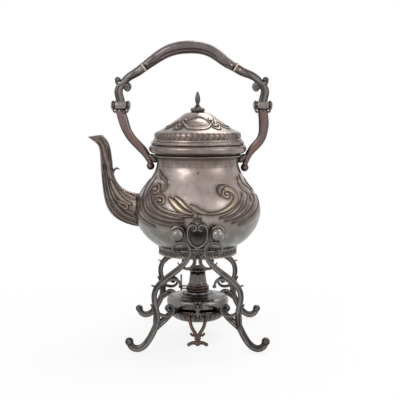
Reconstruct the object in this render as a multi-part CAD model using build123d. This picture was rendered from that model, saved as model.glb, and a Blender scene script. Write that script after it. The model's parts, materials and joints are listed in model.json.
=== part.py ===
from build123d import *
import math
import os

os.makedirs("parts", exist_ok=True)

# A plated spirit kettle that tips on a scrolled stand over a spirit burner.
# Millimetres, Z up, spout towards -X, front towards -Y. It is drawn round the axis of the kettle
# and saved with its origin on the table under the middle of the whole outline.

# Stand
stance_reach = 83.0          # foot ball centre to the middle plane
loop_top = 137.2             # top of the loops that carry the kettle
frame_depth = 6.8            # casting depth of a leg, along Y
loop_depth = 5.4             # casting depth of the loops and the cartouche
foot_width = 8.4
leg_width = 8.2
bulge_width = 5.6
rise_width = 6.8
loop_width = 3.6
foot_ball = 5.2
frame_gap = 0.9              # belly to the inside of a frame
strut_width = 6.6
strut_end_width = 5.6
tendril_width = 4.6
volute_width = 4.2
cartouche_width = 2.8
cartouche_half = 11.4
cartouche_height = 27.4
crown_ball = 3.0

# Burner holder
holder_rim_radius = 39.6
holder_floor_radius = 27.0
holder_floor_z = 22.0
holder_depth = 14.6
holder_wall = 1.6
holder_mid_share = 0.93      # radius half way up, as a share of the rim
holder_bead = 1.5
clip_gap = 0.9
clip_thickness = 2.4
clip_disc = 5.0
pendant_drop = 43.0          # length of the pendant down its slope
pendant_lean = 36.5          # degrees from upright
pendant_thickness = 4.0
pendant_half = 13.0
pendant_lift = 0.6           # pendant to the table
holder_screw_radius = 1.3
strut_turn = 53.0            # degrees round from X where a strut meets the rim

# Spirit burner
reservoir_proud = 0.6        # reservoir beyond the rim of the holder
reservoir_roll = 13.0        # height of the rounded side
reservoir_wall = 1.2
reservoir_shoulder = 5.2     # rise from the roll to the neck
reservoir_neck = 15.0
bowl_gap = 1.0               # reservoir to holder, all round
tube_radius = 7.5
tube_wall = 1.4
wick_clearance = 0.1
wick_stand = 2.4             # wick above the crown
sleeve_radius = 14.8
sleeve_height = 8.2
sleeve_clearance = 0.08
column_foot = 12.6
column_base = 11.8
column_top = 9.7
column_height = 18.4
crown_radius = 11.2
crown_height = 4.4
crown_petals = 8
lever_reach = 21.5
lever_height = 21.0
lever_width = 4.0
lever_wire = 0.8

# Kettle
stud_half = 24.0             # kettle studs to the middle plane
stud_ball = 8.2
stud_neck = 4.6
stud_flange = 9.6
stud_reach = 7.6             # loop to the flat front of a stud ball
seat_clearance = 0.08        # stud ball to its seat in the loop
pivot_above_base = 36.5      # stud centre above the underside of the foot ring
sheet = 1.2                  # wall of the kettle and lid
foot_radius = 50.2
foot_height = 11.5
foot_wall = 1.8
base_thickness = 1.5
hip_radius = 72.2
hip_height = 30.6
belly_radius = 80.9
belly_height = 56.0
shoulder_radius = 65.6
shoulder_height = 91.0
neck_radius = 52.6
neck_height = 114.5
lip_radius = 53.8
lip_height = 130.0
mouth_radius = 50.0
collar_radius = 62.6
collar_height = 11.2
collar_bead = 57.2
collar_bead_height = 3.0

# Lid
lid_rim_radius = 59.8
lid_rim_height = 7.6
lid_band_radius = 54.6
lid_band_height = 8.6
lid_rise = 24.8              # band to the seat of the knob
lid_flange_depth = 8.0
lid_flange_wall = 1.0
lid_clearance = 0.4
knob_seat = 9.0
rosette_radius = 9.5
rosette_height = 8.4
bud_radius = 3.1
bud_height = 18.0
bud_neck = 1.9
knob_screw = 1.5
knob_nut_width = 6.0
knob_nut_height = 2.4

# Spout
spout_reach = 141.0          # tip of the lip to the middle plane
spout_rise = 150.6           # tip of the lip above the underside of the foot ring
spout_root_width = 34.0
spout_wall = 1.5
strainer_hole = 2.4
strainer_pitch = 8.0

# Bail and its arms
hinge_height = 191.0         # bail pin above the underside of the foot ring
front_hinge_x = 98.2         # spout side pin to the middle plane
back_hinge_x = 83.2
knuckle_radius = 5.6
knuckle_length = 15.2
ear_radius = 6.9
ear_thickness = 3.2
pin_radius = 2.0
pin_head = 5.4
pin_head_height = 1.5
pin_clearance = 0.06
knuckle_gap = 0.15           # knuckle to each ear
yoke_gap = 0.5               # knuckle to the yoke under it
arm_width = 13.0
arm_waist = 11.0
arm_foot_width = 9.0
arm_ball = 4.8
stem_width = 9.6
hook_ball = 3.5
neck_width = 5.6
socket_width = 11.8
grip_width = 16.4
grip_rise = 73.4             # middle of the grip above the pins
grip_x = -10.1
insulator_x = 58.4           # each insulator to the middle of the grip
insulator_drop_front = 25.2
insulator_drop_back = 25.8
insulator_thickness = 2.2
insulator_proud = 0.4
tenon_radius = 2.6
tenon_length = 9.0
rivet_radius = 0.9
rivet_inset = 5.0

# Places that follow from the sizes above
frame_y = belly_radius + frame_gap + frame_depth / 2
pivot_z = loop_top + stud_ball - 1.2
base_z = pivot_z - pivot_above_base
foot_top_z = base_z + foot_height
lip_z = base_z + lip_height
collar_top_z = lip_z + collar_height
hinge_z = base_z + hinge_height
holder_rim_z = holder_floor_z + holder_depth
roll_z = holder_rim_z + holder_bead + bowl_gap
roll_top_z = roll_z + reservoir_roll
neck_top_z = roll_top_z + reservoir_shoulder
sleeve_top_z = neck_top_z + sleeve_height
column_top_z = sleeve_top_z + sleeve_clearance * 2 + column_height

reservoir_radius = holder_rim_radius + reservoir_proud
back_reach = back_hinge_x + knuckle_length / 2 + knuckle_gap + ear_thickness + pin_head_height
middle_x = (back_reach - spout_reach) / 2

# The leg is drawn for this reach and height and follows the stance and the loops
drawn_reach = 83.0
drawn_top = 137.2

# So is the spout
drawn_spout_reach = 141.0
drawn_spout_rise = 150.6

# A solid that stands on its plane, one that hangs under it and one that lies in front of it
upwards = (Align.CENTER, Align.CENTER, Align.MIN)
downwards = (Align.CENTER, Align.CENTER, Align.MAX)
forwards = (Align.CENTER, Align.MAX, Align.CENTER)


def on_frame(x, z):
    return Vector(x / drawn_reach * stance_reach, -frame_y, z / drawn_top * loop_top)


def bevelled(plane, width, depth):
    # A rectangle whose corners are cut, the section of every cast scroll
    corner = 0.29 * min(width, depth)
    a = width / 2
    b = depth / 2
    points = [(a, corner - b), (a, b - corner), (a - corner, b), (corner - a, b)]
    points += [(-a, b - corner), (-a, corner - b), (corner - a, -b), (a - corner, -b)]
    return (plane * Polygon(*points, align=None)).face()


def oval(plane, width, depth):
    # A twelve sided oval, the section of the spout
    points = []
    for index in range(12):
        turn = math.pi * index / 6
        points.append((width / 2 * math.cos(turn), depth / 2 * math.sin(turn)))
    return (plane * Polygon(*points, align=None)).face()


def along(values, share):
    # The value at a share of the way through a list of evenly spaced values
    place = share * (len(values) - 1)
    first = min(int(place), len(values) - 2)
    return values[first] + (values[first + 1] - values[first]) * (place - first)


def limb(points, widths, depths, steps=2, ends=None):
    # A scroll: one section carried along a smooth line, with its width and depth changing on the way
    path = Spline(*points, tangents=ends) if ends else Spline(*points)
    spans = (len(points) - 1) * steps
    marks = [path.param_at_point(point) for point in points]
    faces = []
    for index in range(spans + 1):
        share = index / spans
        mark = along(marks, share)
        tangent = path % mark
        plane = Plane(origin=path @ mark, x_dir=tangent.cross(Vector(0, 1, 0)), z_dir=tangent)
        faces.append(bevelled(plane, along(widths, share), along(depths, share)))
    return loft(faces, ruled=True)


def ball(point, radius):
    return Pos(*point) * Sphere(radius)


def bead(point, radius):
    # A small cast ball, with the flats that a file leaves on it
    faces = []
    for share in (-0.9, -0.5, 0, 0.5, 0.9):
        across = radius * math.sqrt(1 - share * share)
        faces.append(Pos(0, 0, radius * share) * RegularPolygon(across, 8).face())
    return Pos(*point) * Rot(90, 0, 0) * loft(faces, ruled=True)


def thorn(root, tip, radius):
    # A short spike from a buried root to a blunt tip
    plane = Plane(origin=root, z_dir=tip - root)
    return plane * Cone(radius, radius * 0.3, (tip - root).length, align=upwards)


def turned(points):
    # A solid of revolution from a closed outline of (radius, height) points
    outline = Polyline(*[Vector(r, 0, z) for r, z in points], close=True)
    return revolve(make_face(outline), Axis.Z)


def ring(outer, inner, low, high):
    body = Cylinder(outer, high - low, align=upwards)
    bore = Cylinder(inner, high - low, align=upwards)
    return Pos(0, 0, low) * (body - bore)


def disc(radius, low, high):
    return Pos(0, 0, low) * Cylinder(radius, high - low, align=upwards)


def along_x(radius, start, end, y, z):
    rod = Cylinder(radius, end - start, align=upwards)
    return Pos(start, y, z) * Rot(0, 90, 0) * rod


def along_y(radius, start, end, x, z):
    rod = Cylinder(radius, end - start, align=upwards)
    return Pos(x, start, z) * Rot(-90, 0, 0) * rod


def save(shape, name):
    export_step(Pos(-middle_x, 0, 0) * shape, f"parts/{name}.step")


def save_set(shapes, name):
    # Several loose pieces that make one node
    moved = [Pos(-middle_x, 0, 0) * shape for shape in shapes]
    export_step(Compound(children=moved), f"parts/{name}.step")


# Legs
def leg_line():
    # Foot, leg, bulge, cross-over and loop of the spout side leg, as one S
    drawn = [(-83.0, 12.0), (-79.6, 6.4), (-73.0, 4.0), (-65.6, 7.6), (-59.0, 16.0), (-52.6, 28.0)]
    drawn += [(-48.9, 40.0), (-49.3, 51.5), (-52.2, 65.0), (-50.6, 77.0), (-44.5, 85.6), (-27.0, 99.6)]
    drawn += [(-17.2, 108.4), (-11.2, 116.6), (-9.4, 125.4), (-13.0, 132.9), (-20.6, 135.4)]
    drawn += [(-27.8, 131.8), (-29.2, 126.2), (-25.6, 122.3), (-22.4, 124.2)]
    return [on_frame(x, z) for x, z in drawn]


def leg():
    widths = [7.0, foot_width, foot_width, foot_width, leg_width, leg_width, 6.8]
    widths += [bulge_width, bulge_width, 6.2, rise_width, rise_width, 6.0, 5.2, 4.6, 4.0]
    widths += [loop_width, loop_width, 3.2, 3.0, 2.6]
    depths = [frame_depth] * 13 + [loop_depth] * 8
    shape = limb(leg_line(), widths, depths)
    shape += ball(on_frame(-82.8, 13.6), foot_ball)
    tendril = [(-46.6, 80.6), (-42.0, 85.0), (-35.0, 89.6), (-27.8, 90.8), (-22.6, 88.0), (-20.6, 83.0)]
    tendril_widths = [4.0, tendril_width, tendril_width, 4.0, 3.4, 3.0]
    shape += limb([on_frame(x, z) for x, z in tendril], tendril_widths, [loop_depth] * 6)
    shape += bead(on_frame(-20.4, 81.8), 2.5)
    volute = [(-49.8, 52.0), (-46.0, 47.6), (-39.5, 45.4), (-32.6, 46.4), (-28.9, 51.4), (-30.6, 57.2)]
    volute += [(-35.6, 58.6), (-38.6, 54.8), (-36.4, 51.6)]
    volute_widths = [volute_width, volute_width, 4.0, 3.8, 3.4, 3.0, 2.6, 2.4, 2.2]
    shape += limb([on_frame(x, z) for x, z in volute], volute_widths, [loop_depth] * 9)
    shape += bead(on_frame(-34.6, 52.8), 2.7)
    curl = [(-10.2, 121.2), (-5.4, 117.6), (-3.4, 112.6), (-5.2, 107.0), (-10.6, 103.4), (-18.0, 104.6)]
    curl_widths = [2.6, 2.8, 2.8, 2.8, 2.8, 2.8]
    shape += limb([on_frame(x, z) for x, z in curl], curl_widths, [loop_depth] * 6)
    shape += strut()
    shape += thorn(on_frame(-50.2, 80.0), on_frame(-54.9, 82.8), 1.6)
    shape += thorn(on_frame(-20.4, 104.0), on_frame(-23.4, 110.4), 1.5)
    shape += bead(on_frame(-22.6, 124.0), 2.1)
    seat_radius = stud_ball + seat_clearance
    seat = along_y(seat_radius, -frame_y - frame_depth, -frame_y + frame_depth, -stud_half, pivot_z)
    floor = Box(4 * stance_reach, 4 * foot_ball, 6, align=downwards)
    floor = Pos(0, -frame_y, 0) * floor
    return shape - seat - floor - holder_space() - holder_screws()


def strut():
    # From the leg inwards to the burner holder
    inner = holder_rim_radius - 1.0
    turn = math.radians(strut_turn)
    start = on_frame(-51.6, 29.6)
    end = Vector(-inner * math.cos(turn), -inner * math.sin(turn), holder_rim_z + 2.6)
    first = start + Vector(11.4, 9.0, 9.4)
    second = Vector(end.X - 8.0, end.Y - 21.0, end.Z + 2.0)
    widths = [strut_width, strut_width, 6.0, strut_end_width]
    return limb([start, first, second, end], widths, [6.0, 6.0, 5.6, 5.0], steps=3)


def holder_screws():
    # One screw through the end of each strut into the rim
    screws = []
    start = holder_rim_radius - holder_wall - 0.5 * bowl_gap
    length = holder_wall + 0.5 * bowl_gap + holder_bead + 3.4
    for turn in (strut_turn, 180 - strut_turn, 180 + strut_turn, 360 - strut_turn):
        screw = along_x(holder_screw_radius, start, start + length, 0, holder_rim_z)
        screws.append(Rot(0, 0, turn) * screw)
    return screws


def holder_space():
    # Everything that the holder fills, so that what meets it ends on its face
    return disc(holder_rim_radius + holder_bead, holder_floor_z - 1, roll_top_z + 10)


legs = {"front_left_leg": leg()}
legs["front_right_leg"] = mirror(legs["front_left_leg"], about=Plane.YZ)
legs["rear_left_leg"] = mirror(legs["front_left_leg"], about=Plane.XZ)
legs["rear_right_leg"] = mirror(legs["front_right_leg"], about=Plane.XZ)
for leg_name, leg_shape in legs.items():
    save(leg_shape, leg_name)


# Cartouche between the two loops of a frame
def cartouche():
    low = loop_top - 8.0
    high = low + cartouche_height
    half = cartouche_half

    def at(x, z):
        return Vector(x, -frame_y, z)

    side = [(-0.06, 27.4), (0.3, 26.6), (0.7, 23.0), (0.96, 16.4), (1.0, 9.4), (0.8, 2.4), (0.42, 0.4)]
    side += [(0.18, 3.4), (0.34, 6.2)]
    line = [at(x * half, high - z) for x, z in side]
    depth = loop_depth - 0.8
    ring_half = limb(line, [cartouche_width] * 7 + [2.4, 2.2], [depth] * 9)
    shape = ring_half + mirror(ring_half, about=Plane.YZ)
    for way in (-1, 1):
        shape += bead(at(way * 0.36 * half, high - 5.6), 2.1)
    crown = high + 1.6
    shape += Pos(*at(0, high)) * Box(9.6, depth - 0.4, 2.4)
    shape += bead(at(0, crown), crown_ball)
    shape += bead(at(0, crown + 7.4), crown_ball * 0.95)
    for way in (-1, 1):
        shape += bead(at(way * 3.9, crown + 3.6), crown_ball)
    bar = at(0, low - 1.6)
    shape += Pos(*bar) * Box(18.0, depth - 0.6, 3.4)
    shape += Pos(*bar) * Rot(0, 45, 0) * Box(5.0, depth + 0.4, 5.0)
    return shape - legs["front_left_leg"] - legs["front_right_leg"]


front_cartouche = cartouche()
save(front_cartouche, "front_cartouche")
save(mirror(front_cartouche, about=Plane.XZ), "rear_cartouche")


# Burner holder, a shallow bowl with a beaded rim
def holder_bowl():
    floor = holder_floor_z
    rim = holder_rim_z
    wall = holder_wall
    middle = holder_mid_share * holder_rim_radius
    half_way = floor + 0.5 * holder_depth
    points = [(0, floor), (holder_floor_radius, floor), (middle, half_way)]
    points += [(holder_rim_radius, rim - 2 * holder_bead)]
    points += [(holder_rim_radius + holder_bead, rim - holder_bead)]
    points += [(holder_rim_radius + holder_bead, rim), (holder_rim_radius - wall, rim)]
    points += [(holder_rim_radius - wall, rim - 2 * holder_bead), (middle - wall, half_way)]
    points += [(holder_floor_radius - wall, floor + wall), (0, floor + wall)]
    return turned(points)


# The rim ring takes the four struts and their screws
def holder_ring():
    low = holder_rim_z
    high = holder_rim_z + holder_bead
    return ring(holder_rim_radius + holder_bead, holder_rim_radius - holder_wall, low, high)


bowl = holder_bowl() + holder_ring()
bowl -= holder_screws()


save(bowl, "burner_holder")
save_set(holder_screws(), "holder_screws")


# Clip in front of the reservoir, with a rosette and a drop
def clip():
    face = holder_rim_radius + holder_bead
    stem_low = holder_floor_z + 0.55 * holder_depth
    stem_high = roll_z + 0.62 * reservoir_roll
    front = face + clip_gap
    stem = Box(4.4, clip_thickness, stem_high - stem_low, align=upwards)
    shape = Pos(0, -front - clip_thickness / 2, stem_low) * stem
    shape += along_y(clip_disc, -front - clip_thickness, -front, 0, stem_high)
    shape += bead((0, -front - clip_thickness, stem_high), 2.4)
    for turn in range(0, 360, 60):
        x = clip_disc * math.cos(math.radians(turn))
        z = clip_disc * math.sin(math.radians(turn))
        shape += along_y(1.9, -front - clip_thickness, -front, x, stem_high + z)
    shape += bead((0, -front - clip_thickness * 0.6, stem_low + 1.0), 3.0)
    foot = Pos(0, -front, holder_rim_z - holder_bead / 2) * Box(4.4, 2 * clip_gap, holder_bead)
    foot += Pos(0, -front, holder_rim_z + holder_bead / 2) * Box(4.4, 2 * clip_gap, holder_bead)
    shape += foot
    return shape - bowl


front_clip = clip()
save(front_clip, "front_clip")
save(mirror(front_clip, about=Plane.XZ), "rear_clip")


# Pendant: a V from the holder that leans forward to a T just above the table
def pendant():
    top = Vector(0, -holder_rim_radius + 3.4, holder_floor_z + 0.8 * holder_depth)
    lean = math.radians(pendant_lean)
    down = Vector(0, -math.sin(lean), -math.cos(lean))
    plane = Plane(origin=top, x_dir=Vector(1, 0, 0), z_dir=Vector(1, 0, 0).cross(down))
    length = pendant_drop
    half = pendant_half
    arm = [(0.88 * half, 1.0), (0.95 * half, 4.0), (3.4, 0.56 * length), (3.4, 0.76 * length)]
    arm += [(0.32 * half, 0.84 * length), (0.8 * half, 0.84 * length), (half, 0.9 * length)]
    arm += [(half, 0.97 * length), (0.75 * half, length), (0.45 * half, 0.95 * length), (0, length)]
    arm += [(0, 0.5 * length), (0.55 * half, 0.1 * length)]
    nub = [(3.4, 0.56 * length), (0.7 * half, 0.6 * length)]
    nub += [(0.62 * half, 0.66 * length), (3.4, 0.66 * length)]
    flat = Polygon(*arm, align=None) + Polygon(*nub, align=None)
    flat += mirror(flat, about=Plane.YZ)
    half_thickness = pendant_thickness / 2
    shape = extrude(plane * flat, half_thickness, both=True)
    table = Box(8 * half, 4 * frame_y, pendant_drop, align=downwards)
    return shape - bowl - holder_hollow() - Pos(0, 0, pendant_lift) * table


def holder_hollow():
    return disc(holder_rim_radius - holder_wall, holder_floor_z + holder_wall, roll_top_z)


front_pendant = pendant()
save(front_pendant, "front_pendant")
save(mirror(front_pendant, about=Plane.XZ), "rear_pendant")


# Burner
def reservoir():
    low = holder_floor_z + holder_wall
    narrow = holder_floor_radius - holder_wall - bowl_gap
    wide = holder_rim_radius - holder_wall - bowl_gap
    mid = holder_mid_share * holder_rim_radius - holder_wall - bowl_gap
    face = make_face(reservoir_outline(low, narrow, mid, wide, 0))
    hollow = make_face(reservoir_outline(low + reservoir_wall, narrow, mid, wide, reservoir_wall))
    shape = revolve(face, Axis.Z) - revolve(hollow, Axis.Z)
    return shape - disc(tube_radius, low + reservoir_wall, neck_top_z + 1)


def reservoir_outline(low, narrow, mid, wide, inset):
    half_way = holder_floor_z + 0.5 * holder_depth
    bulge = reservoir_radius - inset
    edge = 0.88 * reservoir_radius - inset
    lower = [(0, low), (narrow - inset, low), (mid - inset, half_way), (wide - inset, roll_z - 2.0)]
    lower += [(edge, roll_z + inset)]
    middle = (bulge, (roll_z + roll_top_z) / 2)
    top = neck_top_z - inset
    upper = [(edge, roll_top_z - inset), (0.62 * reservoir_radius, roll_top_z + 1.2 - inset)]
    upper += [(0.5 * reservoir_radius, roll_top_z + 3.0 - inset)]
    upper += [(reservoir_neck - inset, roll_top_z + 3.2 - inset), (reservoir_neck - inset, top)]
    upper += [(0, top), (0, low)]
    lower_line = Polyline(*[(r, 0, z) for r, z in lower])
    upper_line = Polyline(*[(r, 0, z) for r, z in upper])
    roll = ThreePointArc(*[(r, 0, z) for r, z in (lower[-1], middle, upper[0])])
    return Wire([*lower_line.edges(), *roll.edges(), *upper_line.edges()])


save(reservoir(), "burner_reservoir")

crown_z = column_top_z
tube_low = holder_floor_z + holder_wall + reservoir_wall
save(ring(tube_radius, tube_radius - tube_wall, tube_low, crown_z), "wick_tube")

wick_radius = tube_radius - tube_wall - wick_clearance
wick_top = crown_z + crown_height + wick_stand
wick = disc(wick_radius, tube_low + 1.0, wick_top)
wick = fillet(wick.edges().group_by(Axis.Z)[-1], 1.2)
save(wick, "wick")

column_low = sleeve_top_z + sleeve_clearance * 2
column_outline = [(tube_radius, column_low), (column_foot, column_low), (column_foot, column_low + 1.4)]
column_outline += [(column_base, column_low + 2.4), (column_top, column_top_z)]
column_outline += [(tube_radius, column_top_z)]
save(turned(column_outline), "burner_column")


def crown():
    flange = disc(crown_radius - 1.6, crown_z, crown_z + 1.6)
    flange += disc(tube_radius + 1.2, crown_z + 1.6, crown_z + crown_height)
    for index in range(crown_petals):
        turn = 360 / crown_petals * index
        petal = Pos(crown_radius - 2.4, 0, crown_z) * Cylinder(2.4, 2.6, align=upwards)
        flange += Rot(0, 0, turn) * petal
    return flange - disc(wick_radius + wick_clearance, crown_z - 1, crown_z + crown_height + 1)


save(crown(), "burner_crown")


# Regulator sleeve and its lever
def sleeve():
    low = neck_top_z + sleeve_clearance
    bore = tube_radius + sleeve_clearance
    points = [(bore, low), (sleeve_radius - 1.4, low), (sleeve_radius - 1.4, low + 1.0)]
    points += [(sleeve_radius, low + 1.6), (sleeve_radius, sleeve_top_z - 0.8)]
    points += [(sleeve_radius - 0.8, sleeve_top_z), (bore, sleeve_top_z)]
    return turned(points)


regulator_sleeve = sleeve()
save(regulator_sleeve, "regulator_sleeve")


def lever():
    low = neck_top_z + 1.0
    post = Box(lever_wire * 3, lever_width, lever_height, align=upwards)
    post = fillet(post.edges().filter_by(Axis.Z), lever_wire)
    shape = Pos(-lever_reach, 0, low) * post
    for height in (2.6, 5.8):
        for way in (-1, 1):
            shape += along_x(lever_wire, -lever_reach, -sleeve_radius + 2.0, way * 1.0, low + height)
    return shape - regulator_sleeve - disc(sleeve_radius, neck_top_z, sleeve_top_z)


save(lever(), "regulator_lever")


# Kettle body
def body_line():
    points = [Vector(foot_radius, 0, foot_top_z), Vector(hip_radius, 0, base_z + hip_height)]
    points += [Vector(belly_radius, 0, base_z + belly_height)]
    points += [Vector(shoulder_radius, 0, base_z + shoulder_height)]
    points += [Vector(neck_radius, 0, base_z + neck_height), Vector(lip_radius, 0, lip_z)]
    return Spline(*points)


def body_face(inset):
    # Half section of the kettle, or of its inside where the inset is the wall
    line = body_line()
    if inset:
        line = body_inner_line(line, inset)
    start = line @ 0
    end = line @ 1
    top = Vector(0, 0, end.Z)
    bottom = Vector(0, 0, start.Z)
    edges = [line.edge(), Line(end, top).edge(), Line(top, bottom).edge(), Line(bottom, start).edge()]
    return make_face(Wire(edges))


def body_inner_line(line, inset):
    # The outer line moved inwards, square to itself, at even steps
    points = []
    steps = 8
    for index in range(steps + 1):
        share = index / steps
        tangent = line % share
        inward = Vector(-tangent.Z, 0, tangent.X)
        points.append((line @ share) + inward * inset)
    points[0] = Vector(points[0].X, 0, foot_top_z)
    points[-1] = Vector(points[-1].X, 0, lip_z)
    return Spline(*points)


solid_body = revolve(body_face(0), Axis.Z)
hollow_body = revolve(body_face(sheet), Axis.Z)


# Spout, as pairs of outline points on its front and back and a width across
def spout_stations():
    tip = Vector(-spout_reach, 0, base_z + spout_rise)

    def at(x, z):
        height = z * spout_rise / drawn_spout_rise
        return Vector(x * spout_reach / drawn_spout_reach, 0, base_z + height)

    root = spout_root_width
    return [
        (at(-62, 33), at(-62, 80), root),
        (at(-90, 38.4), at(-83.5, 78.6), root),
        (at(-106.4, 46.4), at(-94.6, 83.6), 0.86 * root),
        (at(-115.8, 57.4), at(-101.4, 89.6), 0.7 * root),
        (at(-120.8, 73.0), at(-105.6, 96.6), 0.58 * root),
        (at(-123.2, 93.0), at(-108.2, 106.0), 0.5 * root),
        (at(-124.8, 115.0), at(-109.4, 117.0), 0.45 * root),
        (at(-125.4, 130.0), at(-111.2, 131.6), 0.42 * root),
        (at(-128.4, 140.8), at(-114.0, 142.6), 0.4 * root),
        (at(-134.4, 146.0), at(-117.6, 148.6), 0.38 * root),
        (tip, at(-121.8, 153.2), 0.34 * root),
    ]


def spout_solid(inset):
    # The bore runs on past both ends of the outside
    stations = spout_stations()
    if inset:
        front, back, width = stations[0]
        stations[0] = (front + Vector(6, 0, 0), back + Vector(6, 0, 0), width)
        front, back, width = stations[-1]
        past = Vector(-0.9, 0, 2.2)
        stations[-1] = (front + past, back + past, width)
    faces = []
    for front, back, width in stations:
        across = back - front
        plane = Plane(origin=(front + back) * 0.5, x_dir=across, z_dir=across.cross(Vector(0, 1, 0)))
        faces.append(oval(plane, across.length - 2 * inset, width - 2 * inset))
    return loft(faces)


spout_outer = spout_solid(0)
spout_bore = spout_solid(spout_wall)
barb_line = [Vector(-109.6, 0, base_z + 104.0), Vector(-106.6, 0, base_z + 109.6)]
barb_line += [Vector(-101.2, 0, base_z + 109.4)]
barb = limb(barb_line, [2.8, 2.4, 1.2], [2.6, 2.2, 1.2])
spout = spout_outer + barb - spout_bore - solid_body
save(spout, "spout")


def strainer_holes():
    # Holes through the wall behind the spout, in rows
    holes = []
    for row in range(-2, 3):
        for column in range(-1, 2):
            shift = 0.5 * strainer_pitch if row % 2 else 0
            y = column * strainer_pitch + shift - 0.25 * strainer_pitch
            z = base_z + belly_height + row * 0.87 * strainer_pitch
            holes.append(along_x(strainer_hole, -belly_radius - 10, -0.6 * belly_radius, y, z))
    return holes


kettle_body = (solid_body - hollow_body) - strainer_holes()
save(kettle_body, "kettle_body")

save(disc(foot_radius - sheet, foot_top_z, foot_top_z + base_thickness), "kettle_base")

foot_inner = foot_radius - foot_wall - 0.8
foot_outline = [(foot_radius, foot_top_z), (foot_radius + 0.8, base_z + 0.62 * foot_height)]
foot_outline += [(foot_radius + 0.6, base_z + 0.3 * foot_height), (foot_radius - 0.4, base_z)]
foot_outline += [(foot_inner, base_z), (foot_inner, foot_top_z - 2.0)]
foot_outline += [(foot_radius - 2 * foot_wall, foot_top_z)]
save(turned(foot_outline), "foot_ring")


# Collar round the mouth
def collar():
    top = collar_top_z
    roll_start = (collar_radius - 3.4, 0, lip_z + 0.8)
    roll_end = (collar_radius - 2.6, 0, top)
    lower = Polyline((mouth_radius, 0, lip_z), (lip_radius + 1.8, 0, lip_z), roll_start)
    roll = ThreePointArc(roll_start, (collar_radius, 0, lip_z + 0.5 * collar_height), roll_end)
    upper = Polyline(roll_end, (mouth_radius, 0, top), (mouth_radius, 0, lip_z))
    shape = revolve(make_face(Wire([*lower.edges(), *roll.edges(), *upper.edges()])), Axis.Z)
    bead_z = lip_z - collar_bead_height - 1.4
    bead_top = bead_z + collar_bead_height
    buried = lip_radius - 2
    bead_line = [(buried, bead_z), (collar_bead, bead_z + 0.8), (collar_bead, bead_top - 0.8)]
    bead_line += [(buried, bead_top)]
    return shape, turned(bead_line) - solid_body


neck_collar, neck_bead = collar()
save(neck_collar, "neck_collar")
save(neck_bead, "neck_bead")


# Studs that carry the kettle in the loops
def stud():
    reach = frame_y
    neck = along_y(stud_neck, -reach, -0.5 * belly_radius, -stud_half, pivot_z)
    flange = along_y(stud_flange, -0.965 * belly_radius, -0.5 * belly_radius, -stud_half, pivot_z + 1.0)
    knob = ball((-stud_half, -reach, pivot_z), stud_ball)
    front = -frame_y - stud_reach
    trim = Box(4 * stud_ball, stud_ball, 4 * stud_ball, align=forwards)
    trim = Pos(-stud_half, front, pivot_z) * trim
    return neck + flange + knob - solid_body - trim


front_left_stud = stud()
front_right_stud = mirror(front_left_stud, about=Plane.YZ)
save(front_left_stud, "front_left_stud")
save(front_right_stud, "front_right_stud")
save(mirror(front_left_stud, about=Plane.XZ), "rear_left_stud")
save(mirror(front_right_stud, about=Plane.XZ), "rear_right_stud")


# Arms that carry the bail
def yoke(x):
    low = hinge_z - knuckle_radius - yoke_gap - 4.4
    high = hinge_z - knuckle_radius - yoke_gap
    length = knuckle_length + 2 * knuckle_gap + 2 * ear_thickness
    across = 0.86 * arm_width
    block = Pos(x, 0, low) * Box(length, across, high - low, align=upwards)
    block = fillet(block.edges().filter_by(Axis.Y).group_by(Axis.Z)[0], 3.0)
    inner = knuckle_length / 2 + knuckle_gap
    shape = block
    for way in (-1, 1):
        start = x + way * inner
        end = x + way * (inner + ear_thickness)
        shape += along_x(ear_radius, min(start, end), max(start, end), 0, hinge_z)
        cheek = Box(ear_thickness, across, hinge_z - low, align=upwards)
        shape += Pos(x + way * (inner + ear_thickness / 2), 0, low) * cheek
    return shape


def arm(x, shares):
    # Shares run from the lip of the kettle out and up to the pin
    top = hinge_z - knuckle_radius - yoke_gap - 1.6
    line = [Vector(x, 0, top)]
    reach = abs(x) - lip_radius
    for out, up in shares:
        z = lip_z + up * (hinge_height - lip_height)
        line.append(Vector(math.copysign(lip_radius + out * reach, x), 0, z))
    widths = [arm_width, arm_width, arm_waist, arm_waist, arm_waist, arm_foot_width, 7.0]
    depths = [0.84 * arm_width, 0.84 * arm_width, 9.4, 9.0, 9.0, 8.4, 6.6]
    shape = limb(line, widths, depths)
    shape += yoke(x)
    end = line[-1]
    way = 1 if x > 0 else -1
    shape += ball((end.X, 0, end.Z - 1.6), arm_ball)
    lug_low = lip_z - 13.0
    lug = Box(16.0, 7.6, 14.0, align=upwards)
    shape += Pos(way * (lip_radius + 2.0), 0, lug_low) * lug
    shape -= along_x(pin_radius, x - 20, x + 20, 0, hinge_z)
    shape -= neck_collar + disc(mouth_radius + 1.0, base_z, collar_top_z + 1)
    return shape - neck_bead - solid_body


front_arm_shares = [(0.92, 0.67), (0.8, 0.43), (0.62, 0.25), (0.41, 0.1), (0.25, -0.06), (0.15, -0.21)]
back_arm_shares = [(1.05, 0.62), (1.01, 0.43), (0.9, 0.28), (0.66, 0.14), (0.42, -0.01), (0.22, -0.25)]
save(arm(-front_hinge_x, front_arm_shares), "front_arm")
save(arm(back_hinge_x, back_arm_shares), "back_arm")


def hinge_pin(x):
    half = knuckle_length / 2 + knuckle_gap + ear_thickness
    shape = along_x(pin_radius, x - half, x + half, 0, hinge_z)
    rim = 0.4 * pin_head_height
    head = Cylinder(pin_head, rim, align=upwards)
    head += Pos(0, 0, rim) * Cone(pin_head, 0.6 * pin_head, pin_head_height - rim, align=upwards)
    shape += Pos(x + half, 0, hinge_z) * Rot(0, 90, 0) * head
    shape += Pos(x - half, 0, hinge_z) * Rot(0, -90, 0) * head
    return shape


save(hinge_pin(-front_hinge_x), "front_hinge_pin")
save(hinge_pin(back_hinge_x), "back_hinge_pin")


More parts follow.
